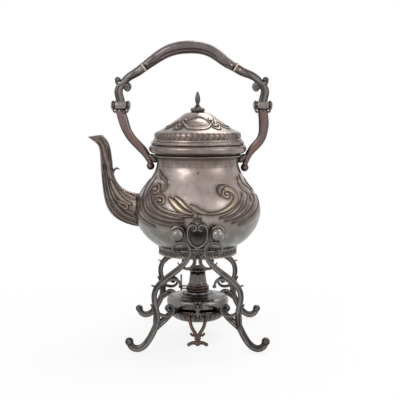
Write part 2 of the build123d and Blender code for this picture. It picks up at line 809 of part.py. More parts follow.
# Bail
grip_z = hinge_z + grip_rise
front_seat = Vector(grip_x - insulator_x, 0, grip_z - insulator_drop_front)
back_seat = Vector(grip_x + insulator_x, 0, grip_z - insulator_drop_back)
front_way = Vector(-math.cos(math.radians(36)), 0, -math.sin(math.radians(36)))
back_way = Vector(math.cos(math.radians(30)), 0, -math.sin(math.radians(30)))


def grip():
    half = insulator_thickness / 2
    start = front_seat - front_way * half
    end = back_seat - back_way * half
    line = Spline(start, Vector(grip_x, 0, grip_z), end, tangents=[front_way * -1, back_way])
    faces = []
    count = 14
    for index in range(count + 1):
        share = index / count
        tangent = line % share
        plane = Plane(origin=line @ share, x_dir=tangent.cross(Vector(0, 1, 0)), z_dir=tangent)
        swell = math.sin(math.pi * share) ** 1.4
        width = socket_width + (grip_width - socket_width) * swell
        faces.append(bevelled(plane, width, width * 0.88))
    return loft(faces, ruled=True)


def tenon(seat, way, extra):
    half = tenon_length + insulator_thickness / 2
    plane = Plane(origin=seat - way * half, z_dir=way)
    return plane * Cylinder(tenon_radius + extra, 2 * half, align=upwards)


def rivet(seat, way, side):
    place = seat + way * (side * (insulator_thickness / 2 + rivet_inset))
    length = 0.88 * socket_width + 0.6
    return along_y(rivet_radius, -length / 2, length / 2, place.X, place.Z)


def insulator(seat, way):
    low = seat - way * (insulator_thickness / 2)
    plane = Plane(origin=low, x_dir=way.cross(Vector(0, 1, 0)), z_dir=way)
    width = socket_width + 2 * insulator_proud
    face = bevelled(plane, width, 0.88 * socket_width + 2 * insulator_proud)
    shape = extrude(face, insulator_thickness, dir=way) + tenon(seat, way, 0)
    for side in (-1, 1):
        shape -= rivet(seat, way, side)
    return shape


def bail_scroll(x, seat, way, side):
    # Knuckle, stem, volute, hook and socket of one end of the bail
    start = seat + way * (insulator_thickness / 2)

    def at(dx, dz):
        return Vector(x + side * dx, 0, hinge_z + dz)

    neck_end = at(0.6, 27.6)
    socket_line = [start, start + way * tenon_length, neck_end + Vector(-side * 8.0, 0, 5.2)]
    socket_line += [neck_end, at(3.4, 29.4)]
    widths = [socket_width, 11.4, 7.4, neck_width, 4.6]
    depths = [0.88 * socket_width, 10.0, 6.8, 5.4, 4.6]
    shape = limb(socket_line, widths, depths, ends=[way, Vector(side * 0.8, 0, 0.6)])
    shape += bead(at(3.2, 32.6), hook_ball)
    hook = [at(0.6, 27.6), at(3.6, 28.6), at(3.4, 32.0)]
    shape += limb(hook, [4.8, 4.6, 4.2], [4.8, 4.6, 4.2])
    scroll = [at(0, 4.4), at(1.4, 10.6), at(2.6, 17.6), at(0.0, 24.2), at(-6.2, 27.0), at(-11.0, 23.4)]
    scroll += [at(-8.6, 19.4), at(-5.6, 21.4)]
    widths = [stem_width, stem_width, stem_width, 8.2, 6.4, 5.0, 4.0, 3.4]
    depths = [8.4, 8.4, 8.0, 7.2, 6.6, 6.0, 5.6, 5.2]
    shape += limb(scroll, widths, depths)
    shape += bead(at(-6.8, 22.2), 3.2)
    knuckle = along_x(knuckle_radius, x - knuckle_length / 2, x + knuckle_length / 2, 0, hinge_z)
    shape += knuckle
    shape -= along_x(pin_radius + pin_clearance, x - 20, x + 20, 0, hinge_z)
    shape -= tenon(seat, way, 0)
    return shape - rivet(seat, way, 1)


front_scroll = bail_scroll(-front_hinge_x, front_seat, front_way, -1)
back_scroll = bail_scroll(back_hinge_x, back_seat, back_way, 1)
save(front_scroll, "front_bail_scroll")
save(back_scroll, "back_bail_scroll")
save(insulator(front_seat, front_way), "front_insulator")
save(insulator(back_seat, back_way), "back_insulator")
bail_grip = grip() - tenon(front_seat, front_way, 0) - tenon(back_seat, back_way, 0)
rivets = []
for seat, way in ((front_seat, front_way), (back_seat, back_way)):
    for side in (-1, 1):
        rivets.append(rivet(seat, way, side))
    bail_grip -= rivet(seat, way, -1)
save(bail_grip, "bail_grip")
save_set(rivets, "bail_rivets")


# Lid
lid_z = collar_top_z
flange_radius = mouth_radius - lid_clearance
band_z = lid_z + lid_rim_height


def lid_rim():
    r = lid_rim_radius
    points = [(flange_radius, lid_z), (r - 1.0, lid_z), (r, lid_z + 1.0), (r, lid_z + 3.6)]
    points += [(r - 1.6, lid_z + 5.2), (lid_band_radius + 1.6, lid_z + 5.8)]
    points += [(lid_band_radius + 1.2, band_z), (flange_radius, band_z)]
    return turned(points)


save(lid_rim(), "lid_rim")
save(ring(flange_radius, flange_radius - lid_flange_wall, lid_z - lid_flange_depth, band_z), "lid_flange")


def lid_line(inset):
    band_top = band_z + lid_band_height
    top = band_top + lid_rise - 0.2 * inset
    band = lid_band_radius - inset
    corner = Vector(lid_band_radius - 2.4 - inset, 0, band_top - inset)
    slope = [corner, Vector(0.69 * lid_band_radius - inset, 0, band_top + 0.32 * lid_rise - inset)]
    slope += [Vector(0.42 * lid_band_radius - inset, 0, band_top + 0.72 * lid_rise - inset)]
    slope += [Vector(knob_seat, 0, top - inset)]
    base = Vector(band, 0, band_z)
    side = Vector(band, 0, band_top - 2.6)
    peak = Vector(0, 0, top - inset)
    centre = Vector(0, 0, band_z)
    edges = [Line(base, side).edge(), Line(side, corner).edge(), Spline(*slope).edge()]
    edges += [Line(slope[-1], peak).edge(), Line(peak, centre).edge(), Line(centre, base).edge()]
    return make_face(Wire(edges))


lid_top_z = band_z + lid_band_height + lid_rise
lid_dome = revolve(lid_line(0), Axis.Z) - revolve(lid_line(sheet), Axis.Z)
lid_dome -= disc(knob_screw, lid_top_z - 4, lid_top_z + 4)
save(lid_dome, "lid_dome")


def knob_rosette():
    dome = Sphere(rosette_radius - 2.6) & disc(rosette_radius, 0, rosette_height - 1.8)
    shape = Pos(0, 0, lid_top_z) * dome + disc(rosette_radius - 2.4, lid_top_z, lid_top_z + 2.0)
    for index in range(8):
        turn = 45 * index
        petal = Pos(rosette_radius - 2.8, 0, lid_top_z + 3.4) * Sphere(2.8)
        shape += Rot(0, 0, turn) * petal
    shape += disc(3.2, lid_top_z + 2.0, lid_top_z + rosette_height)
    shape &= disc(rosette_radius + 1, lid_top_z, lid_top_z + rosette_height)
    return shape - disc(knob_screw, lid_top_z - 1, lid_top_z + rosette_height + 1)


save(knob_rosette(), "knob_rosette")


def knob_bud():
    low = lid_top_z + rosette_height
    tip = low + bud_height
    stem = Polyline((0, 0, low), (bud_neck + 0.6, 0, low), (bud_neck, 0, low + 2.0))
    swell = [(bud_neck, 0, low + 2.0), (bud_radius, 0, low + 0.4 * bud_height)]
    swell += [(0.5 * bud_radius, 0, low + 0.84 * bud_height), (0.35, 0, tip)]
    side = Spline(*swell)
    close = Polyline((0.35, 0, tip), (0, 0, tip), (0, 0, low))
    shape = revolve(make_face(Wire([*stem.edges(), side.edge(), *close.edges()])), Axis.Z)
    return shape + disc(knob_screw, lid_top_z - sheet - knob_nut_height - 1.6, low)


save(knob_bud(), "knob_bud")

nut_low = lid_top_z - 1.2 * sheet - knob_nut_height
nut = Pos(0, 0, nut_low) * extrude(RegularPolygon(knob_nut_width / 2, 6), knob_nut_height)
save(nut - disc(knob_screw, nut_low, lid_top_z), "knob_nut")
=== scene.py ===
# Looks of a plated spirit kettle on its stand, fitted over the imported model.
# Metres, Z up, spout towards -X, front towards -Y. Sizes in lists are millimetres.
import bpy
import json
import math
import numpy as np
from mathutils.bvhtree import BVHTree
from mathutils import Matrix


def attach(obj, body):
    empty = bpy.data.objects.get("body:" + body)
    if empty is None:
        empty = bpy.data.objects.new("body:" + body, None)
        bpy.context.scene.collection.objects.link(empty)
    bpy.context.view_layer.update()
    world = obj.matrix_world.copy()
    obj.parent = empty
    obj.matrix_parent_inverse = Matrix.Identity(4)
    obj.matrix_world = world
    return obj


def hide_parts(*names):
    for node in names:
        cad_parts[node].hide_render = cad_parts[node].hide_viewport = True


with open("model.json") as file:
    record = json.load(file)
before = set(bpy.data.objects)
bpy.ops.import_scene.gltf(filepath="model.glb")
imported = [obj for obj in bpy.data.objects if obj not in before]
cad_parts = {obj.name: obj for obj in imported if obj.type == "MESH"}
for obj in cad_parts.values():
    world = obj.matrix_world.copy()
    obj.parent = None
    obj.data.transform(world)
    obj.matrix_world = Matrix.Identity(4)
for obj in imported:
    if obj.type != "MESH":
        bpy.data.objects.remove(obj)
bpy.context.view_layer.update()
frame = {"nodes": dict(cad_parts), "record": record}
mm = 0.001

# Sizes are drawn round the kettle's axis, which stands this far towards +X from the origin
axisX = 22.675

# Places shared with the solids
loopTop = 137.2  # top of the leg loops
frameY = 85.2  # middle of the front frame's castings, and the rear frame is their mirror
studX = 24.0  # the studs, on each side of the kettle's axis
pivotZ = 144.2  # height of the studs
baseZ = 107.7  # underside of the kettle
lipZ = 237.7  # mouth of the body
hingeZ = 298.7  # knuckles of the bail
frontHingeX = -98.2
backHingeX = 83.2
rimZ = 36.6  # rim of the burner holder


# Lines and grids
def chordKnots(points):
    # How far along its chords each point of a line lies
    gaps = np.sqrt(((points[1:] - points[:-1]) ** 2).sum(axis=1))
    return np.concatenate([[0.0], np.cumsum(gaps)])


def smoothLine(points, count):
    # A natural cubic spline through the points, at even steps of its chord length
    points = np.array(points, float)
    knots = chordKnots(points)
    size = len(points)
    matrix = np.zeros((size, size))
    right = np.zeros_like(points)
    matrix[0, 0] = 1
    matrix[-1, -1] = 1
    for i in range(1, size - 1):
        before = knots[i] - knots[i - 1]
        after = knots[i + 1] - knots[i]
        matrix[i, i - 1] = before
        matrix[i, i] = 2 * (before + after)
        matrix[i, i + 1] = after
        right[i] = 6 * ((points[i + 1] - points[i]) / after - (points[i] - points[i - 1]) / before)
    bend = np.linalg.solve(matrix, right)
    at = np.linspace(0, knots[-1], count)
    low = np.clip(np.searchsorted(knots, at) - 1, 0, size - 2)
    gap = (knots[low + 1] - knots[low])[:, None]
    a = (knots[low + 1] - at)[:, None] / gap
    b = (at - knots[low])[:, None] / gap
    line = a * points[low] + b * points[low + 1]
    return line + ((a ** 3 - a) * bend[low] + (b ** 3 - b) * bend[low + 1]) * gap ** 2 / 6


def spread(values, points, count):
    # Values given at the points, at even steps of the chord length
    knots = chordKnots(np.array(points, float))
    return np.interp(np.linspace(0, knots[-1], count), knots, values)


def patch(grid, cavity=0.0, ridge=0.0, film=0.0):
    # A grid of points with how dark each point is (crevice dirt and painted shade), how worn it is (rubbed
    # metal and painted highlight) and how filmed it is (film and painted shadow)
    shape = grid.shape[:2]
    marks = {"grid": grid}
    for key, value in (("cavity", cavity), ("ridge", ridge), ("film", film)):
        marks[key] = np.array(np.broadcast_to(value, shape), float)
    return marks


def bump(value, centre, wide):
    # A bell: e to minus the square of the distance from the centre over the width
    return np.exp(-((value - centre) / wide) ** 2)


def section(count, edge, kind):
    # A rounded rectangle of half sizes 1: cosine and sine of the turn, each to the power of the edge. Each
    # kind of chasing sinks its two broad sides, and says where dirt stays and where the metal is rubbed; some
    # kinds add painted shade and painted highlight.
    turn = np.linspace(0, 2 * math.pi, count, endpoint=False)
    across = np.sign(np.cos(turn)) * np.abs(np.cos(turn)) ** edge
    deep = np.sign(np.sin(turn)) * np.abs(np.sin(turn)) ** edge
    apart = np.abs(across)
    broad = np.abs(deep) ** 0.5
    cavity = np.zeros(count)
    ridge = np.zeros(count)
    if kind == "channel":  # a hollow down the middle, with painted shade on one flank and along both edges, and a painted highlight on the other flank
        deep = deep * (1 - 0.24 * bump(across, 0.0, 0.36))
        cavity = np.clip(0.7 * bump(across, 0.34, 0.13) * broad + 0.75 * bump(apart, 1.0, 0.22), 0, 1)
        ridge = 0.75 * bump(across, -0.22, 0.26) * broad
    if kind == "panel":  # a sunk panel with a crowned floor
        inner = 1 / (1 + np.exp((apart - 0.62) / 0.05))
        deep = deep * (1 - 0.17 * inner + 0.1 * np.clip(1 - (across / 0.6) ** 2, 0, 1))
        cavity = 0.95 * bump(apart, 0.63, 0.1) * broad
        ridge = (0.8 * np.clip(1 - (across / 0.5) ** 2, 0, 1) + 0.35 * bump(apart, 0.84, 0.08)) * broad
    if kind == "worn":  # plain, with a rubbed face and painted shade along both edges
        cavity = 0.7 * bump(apart, 1.0, 0.2)
        ridge = 0.9 * bump(across, 0.12, 0.42) * broad
    if kind == "grip":  # one groove along the face, and a shallow one near the edge
        deep = deep * (1 - 0.26 * bump(across, -0.34, 0.13) - 0.1 * bump(across, -0.8, 0.2))
        cavity = 0.9 * bump(across, -0.36, 0.12) * broad
    if kind == "leaf":  # a rib groove down the middle, and one on each side of it
        rib = bump(across, 0.0, 0.12)
        deep = deep * (1 - 0.5 * rib - 0.3 * bump(apart, 0.5, 0.1))
        cavity = np.clip(rib + 0.7 * bump(apart, 0.5, 0.09) + bump(apart, 1, 0.1), 0, 1)
        ridge = 0.4 * bump(apart, 0.26, 0.12) * broad
    return across, deep, cavity, ridge


endAngles = np.radians([80, 55, 28])  # rings of a rounded end, from its tip
endReach = 0.42  # how far a rounded end stands out, in widths of the limb


def sweep(points, widths, depths, rings, count=20, kind="plain", edge=0.8, roundEnds=True):
    # The section carried along a smooth line: width square to the line in the XZ plane, depth square to both
    line = smoothLine(points, rings)
    wide = spread(widths, points, rings)
    deep = spread(depths, points, rings)
    tangent = np.gradient(line, axis=0)
    tangent /= np.linalg.norm(tangent, axis=1)[:, None]
    chased = np.ones(rings)
    if roundEnds:
        out = np.sin(endAngles)[:, None] * endReach
        shrink = np.cos(endAngles)
        begin = line[0] - tangent[0] * wide[0] * out
        finish = line[-1] + tangent[-1] * wide[-1] * out[::-1]
        line = np.vstack([begin, line, finish])
        tangent = np.vstack([[tangent[0]] * 3, tangent, [tangent[-1]] * 3])
        wide = np.concatenate([wide[0] * shrink, wide, wide[-1] * shrink[::-1]])
        deep = np.concatenate([deep[0] * shrink, deep, deep[-1] * shrink[::-1]])
        chased = np.pad(chased, 3)
    side = np.cross(tangent, np.array([0.0, 1.0, 0.0]))
    side /= np.linalg.norm(side, axis=1)[:, None]
    face = np.cross(side, tangent)
    across, depth, cavity, ridge = section(count, edge, kind)
    grid = line[:, None, :] + side[:, None, :] * (across[None, :] * wide[:, None] / 2)[:, :, None]
    grid = grid + face[:, None, :] * (depth[None, :] * deep[:, None] / 2)[:, :, None]
    return patch(grid, chased[:, None] * cavity[None, :], chased[:, None] * ridge[None, :])


def lathe(outline, segments, lobes=None, grooves=()):
    # Outline points turned about Z. Lobes swell some of the rows with the cosine of the turn, and dirt lies
    # between them and in the grooved rows.
    outline = np.array(outline, float)
    turn = np.linspace(0, 2 * math.pi, segments, endpoint=False)
    radius = np.repeat(outline[:, :1], segments, axis=1)
    cavity = np.zeros((len(outline), segments))
    ridge = np.zeros((len(outline), segments))
    if lobes:
        wave = np.abs(np.cos(turn * lobes["count"] / 2)) ** 0.7
        rows = slice(*lobes["rows"])
        radius[rows] += lobes["high"] * (wave[None, :] - 0.5)
        cavity[rows] = np.clip(1 - 2.2 * wave, 0, 1)[None, :]
        ridge[rows] = 0.3 * wave[None, :] ** 4
    for row in grooves:
        cavity[row] = 0.9
    height = np.repeat(outline[:, 1:2], segments, axis=1)
    grid = np.stack([radius * np.cos(turn), radius * np.sin(turn), height], axis=2)
    return patch(grid, cavity, ridge)


def fineOutline(outline, steps):
    # The same outline with more points on each of its lines
    outline = np.array(outline, float)
    points = [outline[:-1] + (outline[1:] - outline[:-1]) * step / steps for step in range(steps)]
    return np.vstack([np.stack(points, axis=1).reshape(-1, 2), outline[-1:]])


def turned(values):
    # A lathe part from a piece's own values, with more points on each line of its outline
    outline = fineOutline(values["outline"], values["steps"])
    return lathe(outline, values["segments"], values.get("lobes"), values.get("grooves", ()))


def turnTo(part, order, signs, place):
    # The part with its axes taken in another order and moved to its place
    grid = np.stack([part["grid"][:, :, axis] * sign for axis, sign in zip(order, signs)], axis=2)
    return dict(part, grid=grid + np.array(place, float))


def alongY(part, place):
    # A turned part whose top faces the front
    return turnTo(part, (0, 2, 1), (1, -1, 1), place)


def alongX(part, place):
    # A turned part whose axis runs along X
    return turnTo(part, (2, 1, 0), (1, 1, -1), place)


def marked(part, key, value):
    # The part with one of its marks set to the same value all over
    return dict(part, **{key: np.full(part[key].shape, value)})


def ball(centre, radius, count=18, squash=1.0, eye=0.0):
    # A ball with its poles along Y, flattened by the squash, with a chased ring round its front
    pole = 0.03
    polar = np.linspace(pole, math.pi - pole, count)
    outline = np.stack([np.sin(polar) * radius, np.cos(polar) * radius * squash], axis=1)
    part = alongY(lathe(outline, count + 8), centre)
    ringed = eye * bump(np.abs(np.cos(polar)), 0.74, 0.1)
    part["cavity"] = np.array(np.broadcast_to(ringed[:, None], part["cavity"].shape))
    return part


def mirrored(part, axis):
    # The part on the other side of the plane square to the axis
    grid = part["grid"].copy()
    grid[:, :, axis] *= -1
    return dict(part, grid=grid)


def outwards(part):
    # The part with its columns turned round if its faces point inwards
    grid = part["grid"]
    a = grid[:-1]
    b = np.roll(a, -1, axis=1)
    c = np.roll(grid[1:], -1, axis=1)
    centre = grid.mean(axis=(0, 1))
    volume = np.einsum("ijk,ijk->", a - centre, np.cross(b - centre, c - centre))
    if volume >= 0:
        return part
    return {key: value[:, ::-1] for key, value in part.items()}


made = []  # every new piece, with the rows and columns of its parts
hiddenNodes = set()  # nodes that a new piece takes the place of


def addPiece(name, parts, body, material, node=None, capped=True):
    # One mesh from several parts; each closes round its columns and is capped at both ends
    parts = [outwards(part) for part in parts]
    points = []
    faces = []
    total = 0
    for part in parts:
        grid = part["grid"]
        rows, cols = grid.shape[:2]
        points.append(grid.reshape(-1, 3))
        row = np.arange(rows - 1)[:, None] * cols
        here = np.arange(cols)[None, :]
        after = (here + 1) % cols
        quads = np.stack([row + here, row + after, row + cols + after, row + cols + here], axis=2)
        faces.extend((quads.reshape(-1, 4) + total).tolist())
        if capped:
            faces.append(list(range(total + cols - 1, total - 1, -1)))
            faces.append(list(range(total + (rows - 1) * cols, total + rows * cols)))
        total += rows * cols
    mesh = bpy.data.meshes.new(name)
    places = (np.vstack(points) + np.array([axisX, 0, 0])) * mm
    mesh.from_pydata(places.tolist(), [], faces)
    mesh.polygons.foreach_set("use_smooth", [True] * len(mesh.polygons))
    for key in ("cavity", "ridge", "film"):
        layer = mesh.attributes.new(key, "FLOAT", "POINT")
        values = np.concatenate([part[key].reshape(-1) for part in parts])
        layer.data.foreach_set("value", values.astype(np.float32))
    mesh.update()
    piece = bpy.data.objects.new(name, mesh)
    bpy.context.scene.collection.objects.link(piece)
    mesh.materials.append(material)
    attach(piece, body)
    if node:
        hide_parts(node)
        hiddenNodes.add(node)
    made.append({"piece": piece, "shapes": [part["grid"].shape[:2] for part in parts]})
    return piece


def addFrontAndRear(name, parts, body, material, node):
    # The same piece at the front and, mirrored, at the rear
    addPiece("front" + name, parts, body, material, "front_" + node)
    addPiece("rear" + name, [mirrored(part, 1) for part in parts], body, material, "rear_" + node)


# Materials
# Where each noise sets in and where it is full, the same on all the plate
noiseEdges = {
    "patch": (0.4, 0.64), "pale": (0.48, 0.64), "mottle": (0.47, 0.72), "film": (0.25, 0.6),
    "wear": (0.46, 0.64),
    "rub": (0.3, 0.55), "speck": (0.58, 0.78), "rough": (0.3, 0.7),
}


def plateMaterial(name, values):
    # Worn silver plate: a bright ground with brown film in patches, a darker, greener tone low down as a
    # painted reflection of the floor, yellow or red metal where it is rubbed, dirt in the crevices, and
    # painted shade and highlight
    material = bpy.data.materials.new(name)
    material.use_nodes = True
    nodes = material.node_tree.nodes
    link = material.node_tree.links.new
    shader = nodes["Principled BSDF"]
    shader.inputs["Metallic"].default_value = values["metallic"]
    place = nodes.new("ShaderNodeTexCoord").outputs["Object"]

    def noise(scale, detail, rough=0.6):
        node = nodes.new("ShaderNodeTexNoise")
        node.inputs["Scale"].default_value = scale
        node.inputs["Detail"].default_value = detail
        node.inputs["Roughness"].default_value = rough
        link(place, node.inputs["Vector"])
        return node.outputs["Fac"]

    def ramp(source, edges, start, end):
        node = nodes.new("ShaderNodeMapRange")
        node.interpolation_type = "SMOOTHSTEP"
        for key, value in zip(("From Min", "From Max", "To Min", "To Max"), (*edges, start, end)):
            node.inputs[key].default_value = value
        link(source, node.inputs["Value"])
        return node.outputs["Result"]

    def mixed(below, colour, factor):
        node = nodes.new("ShaderNodeMix")
        node.data_type = "RGBA"
        node.inputs["B"].default_value = (*colour, 1)
        link(factor, node.inputs["Factor"])
        if isinstance(below, tuple):
            node.inputs["A"].default_value = (*below, 1)
        else:
            link(below, node.inputs["A"])
        return node.outputs["Result"]

    def product(first, second):
        node = nodes.new("ShaderNodeMath")
        node.operation = "MULTIPLY"
        for index, source in enumerate((first, second)):
            if isinstance(source, float):
                node.inputs[index].default_value = source
            else:
                link(source, node.inputs[index])
        return node.outputs[0]

    def attribute(key):
        node = nodes.new("ShaderNodeAttribute")
        node.attribute_name = key
        return node.outputs["Fac"]

    def bumped(source, strength, distance):
        node = nodes.new("ShaderNodeBump")
        node.inputs["Strength"].default_value = strength
        node.inputs["Distance"].default_value = distance
        link(source, node.inputs["Height"])
        return node

    edges = noiseEdges
    patches = noise(values["patchScale"], 5.0)
    mottle = noise(values["patchScale"] * 5.3, 4.0)
    specks = noise(values["patchScale"] * 22.0, 3.0, 0.7)
    colour = mixed(values["bright"], values["tarnish"], ramp(patches, edges["patch"], 0.0, values["film"]))
    height = nodes.new("ShaderNodeSeparateXYZ")
    link(place, height.inputs["Vector"])
    # painted reflection: the lower body is darker and greener, with paler patches, as where it mirrors the
    # floor
    low = ramp(height.outputs["Z"], values["lowEdges"], values["lowAmount"], 0.0)
    colour = mixed(colour, values["lowColour"], low)
    colour = mixed(colour, values["lowPale"], product(low, ramp(mottle, edges["pale"], 0.0, 0.75)))
    colour = mixed(colour, values["tarnish"], ramp(mottle, edges["mottle"], 0.0, 0.55))
    # the film mark holds brown film, and painted shadow round the studs on the body
    filmed = product(attribute("film"), ramp(mottle, edges["film"], 0.6, 1.0))
    colour = mixed(colour, values["filmColour"], filmed)
    worn = product(ramp(noise(values["wearScale"], 5.0), edges["wear"], 0.0, 1.0), values["bleed"])
    colour = mixed(colour, values["under"], worn)
    # the ridge mark holds rubbed metal, and on channelled castings a painted highlight
    rubbed = product(attribute("ridge"), ramp(mottle, edges["rub"], 0.55, 1.0))
    colour = mixed(colour, values["ridgeColour"], rubbed)
    colour = mixed(colour, values["dark"], ramp(specks, edges["speck"], 0.0, values["specks"]))
    # painted shade: points shut in by other parts are darkened, standing also for grime in hollows
    shadeAndGrime = ramp(attribute("shadeAndGrime"), values["shadeAndGrimeEdges"], 0.0, values["shadeAndGrime"])
    colour = mixed(colour, values["dark"], shadeAndGrime)
    # the cavity mark holds dirt in grooves, and painted shade on the flanks and edges of castings, behind the
    # cartouche, in the foot band and in the spout's bore
    cavity = attribute("cavity")
    colour = mixed(colour, values["dark"], cavity)
    link(colour, shader.inputs["Base Color"])
    rough = ramp(patches, edges["rough"], values["roughLow"], values["roughHigh"])
    gathered = nodes.new("ShaderNodeMath")
    gathered.operation = "MULTIPLY_ADD"
    gathered.inputs[1].default_value = 0.25
    link(cavity, gathered.inputs[0])
    link(rough, gathered.inputs[2])
    link(gathered.outputs[0], shader.inputs["Roughness"])
    dented = bumped(mottle, values["dents"], 0.002)
    grained = bumped(noise(values["grainScale"], 3.0), values["bump"], 0.0004)
    link(dented.outputs["Normal"], grained.inputs["Normal"])
    link(grained.outputs["Normal"], shader.inputs["Normal"])
    return material


def plainMaterial(name, values):
    # A dull material with fine mottling, for the wick, the insulators and the floor
    material = bpy.data.materials.new(name)
    material.use_nodes = True
    nodes = material.node_tree.nodes
    link = material.node_tree.links.new
    shader = nodes["Principled BSDF"]
    shader.inputs["Metallic"].default_value = 0.0
    shader.inputs["Roughness"].default_value = values["rough"]
    place = nodes.new("ShaderNodeTexCoord")
    mottle = nodes.new("ShaderNodeTexNoise")
    mottle.inputs["Scale"].default_value = values["scale"]
    mottle.inputs["Detail"].default_value = 6.0
    link(place.outputs["Object"], mottle.inputs["Vector"])
    tint = nodes.new("ShaderNodeMix")
    tint.data_type = "RGBA"
    tint.inputs["A"].default_value = (*values["light"], 1)
    tint.inputs["B"].default_value = (*values["shade"], 1)
    link(mottle.outputs["Fac"], tint.inputs["Factor"])
    link(tint.outputs["Result"], shader.inputs["Base Color"])
    grained = nodes.new("ShaderNodeBump")
    grained.inputs["Strength"].default_value = values["bump"]
    grained.inputs["Distance"].default_value = 0.0003
    link(mottle.outputs["Fac"], grained.inputs["Height"])
    link(grained.outputs["Normal"], shader.inputs["Normal"])
    return material


kettleLook = {
    "metallic": 0.97, "bright": (0.44, 0.37, 0.35), "tarnish": (0.235, 0.19, 0.175), "film": 0.7,
    "patchScale": 15.0, "lowEdges": (0.136, 0.176), "lowAmount": 0.9, "lowColour": (0.14, 0.147, 0.132),
    "lowPale": (0.34, 0.345, 0.33), "filmColour": (0.13, 0.103, 0.092), "wearScale": 30.0, "bleed": 0.12,
    "under": (0.28, 0.17, 0.12), "ridgeColour": (0.42, 0.325, 0.225), "dark": (0.02, 0.015, 0.013),
    "specks": 0.35, "shadeAndGrimeEdges": (0.28, 0.8), "shadeAndGrime": 0.85, "roughLow": 0.2, "roughHigh": 0.36,
    "dents": 0.1,
    "grainScale": 700.0, "bump": 0.12,
}
standLook = dict(kettleLook, bright=(0.15, 0.14, 0.134), tarnish=(0.027, 0.023, 0.022), lowAmount=0.0,
                 specks=0.5, patchScale=38.0, film=0.9, bleed=0.25, under=(0.13, 0.085, 0.07),
                 ridgeColour=(0.26, 0.245, 0.235), roughLow=0.16, roughHigh=0.34, shadeAndGrimeEdges=(0.15, 0.75),
                 shadeAndGrime=0.9, bump=0.25)
bailLook = dict(kettleLook, bright=(0.19, 0.165, 0.165), tarnish=(0.085, 0.07, 0.068), lowAmount=0.0,
                film=0.7, patchScale=26.0, bleed=0.45, under=(0.2, 0.115, 0.1),
                ridgeColour=(0.21, 0.125, 0.105))
scrollLook = dict(kettleLook, bright=(0.15, 0.14, 0.14), tarnish=(0.06, 0.052, 0.05), lowAmount=0.0, film=0.8,
                  patchScale=40.0, bleed=0.2, under=(0.15, 0.1, 0.085), ridgeColour=(0.27, 0.235, 0.215))
copperLook = dict(kettleLook, bright=(0.13, 0.08, 0.066), tarnish=(0.06, 0.04, 0.035), lowAmount=0.0,
                  film=0.8, patchScale=50.0, bleed=0.5, under=(0.2, 0.1, 0.075),
                  ridgeColour=(0.15, 0.1, 0.088))
burnerLook = dict(kettleLook, bright=(0.2, 0.19, 0.185), tarnish=(0.075, 0.068, 0.066), lowAmount=0.0,
                  film=0.8, patchScale=30.0, bleed=0.15, ridgeColour=(0.3, 0.28, 0.26),
                  shadeAndGrimeEdges=(0.15, 0.7), shadeAndGrime=0.9)
screwLook = dict(kettleLook, bright=(0.3, 0.24, 0.17), tarnish=(0.12, 0.09, 0.06), lowAmount=0.0,
                 patchScale=60.0)
boneLook = {"light": (0.66, 0.58, 0.43), "shade": (0.42, 0.34, 0.22), "scale": 240.0, "rough": 0.45,
            "bump": 0.2}
wickLook = {"light": (0.34, 0.29, 0.22), "shade": (0.10, 0.08, 0.06), "scale": 900.0, "rough": 0.95,
            "bump": 0.9}

kettlePlate = plateMaterial("kettlePlate", kettleLook)
standPlate = plateMaterial("standPlate", standLook)
bailPlate = plateMaterial("bailPlate", bailLook)
scrollPlate = plateMaterial("scrollPlate", scrollLook)
copperShow = plateMaterial("copperShow", copperLook)
rivetPlate = plateMaterial("rivetPlate", dict(scrollLook, ridgeColour=(0.62, 0.6, 0.57)))
burnerPlate = plateMaterial("burnerPlate", burnerLook)
screwBrass = plateMaterial("screwBrass", screwLook)
bone = plainMaterial("bone", boneLook)
cotton = plainMaterial("cotton", wickLook)

slotMaterials = {
    "stand_plate": standPlate, "copper_show": copperShow, "screw_brass": screwBrass,
    "burner_plate": burnerPlate, "wick_tube_brass": screwBrass, "wick_cotton": cotton,
    "kettle_plate": kettlePlate, "bail_plate": bailPlate, "insulator_bone": bone,
}
for entry in frame["record"]["subparts"]:
    for holder in frame["nodes"][entry["node"]].material_slots:
        holder.material = slotMaterials[entry["material_slot"]]
print("materials done")


# Stand
def onFrame(points):
    # Places across and up, in the plane of the front frame
    return [(x, -frameY, z) for x, z in points]


legValues = {
    "rings": 150, "small": 44, "count": 24, "scrollDepth": 5.4,
    # bosses in the rolled foot and the scrolls: across, up, radius
    "bosses": [
        (-82.8, 13.6, 5.2), (-79.6, 10.2, 2.6), (-20.4, 81.8, 2.5), (-34.6, 52.8, 2.9), (-22.6, 124.0, 2.4),
    ],
    # thorns: where each one starts, its tip and its width
    "thorns": [((-50.2, 80.0), (-54.9, 82.8), 3.4), ((-20.4, 104.0), (-23.4, 110.4), 3.2)],
    # the strut leaves the leg here and meets the holder's rim at this turn and radius
    "strutStart": (-51.6, 29.6), "strutTurn": 53.0, "strutRadius": 38.9,
}


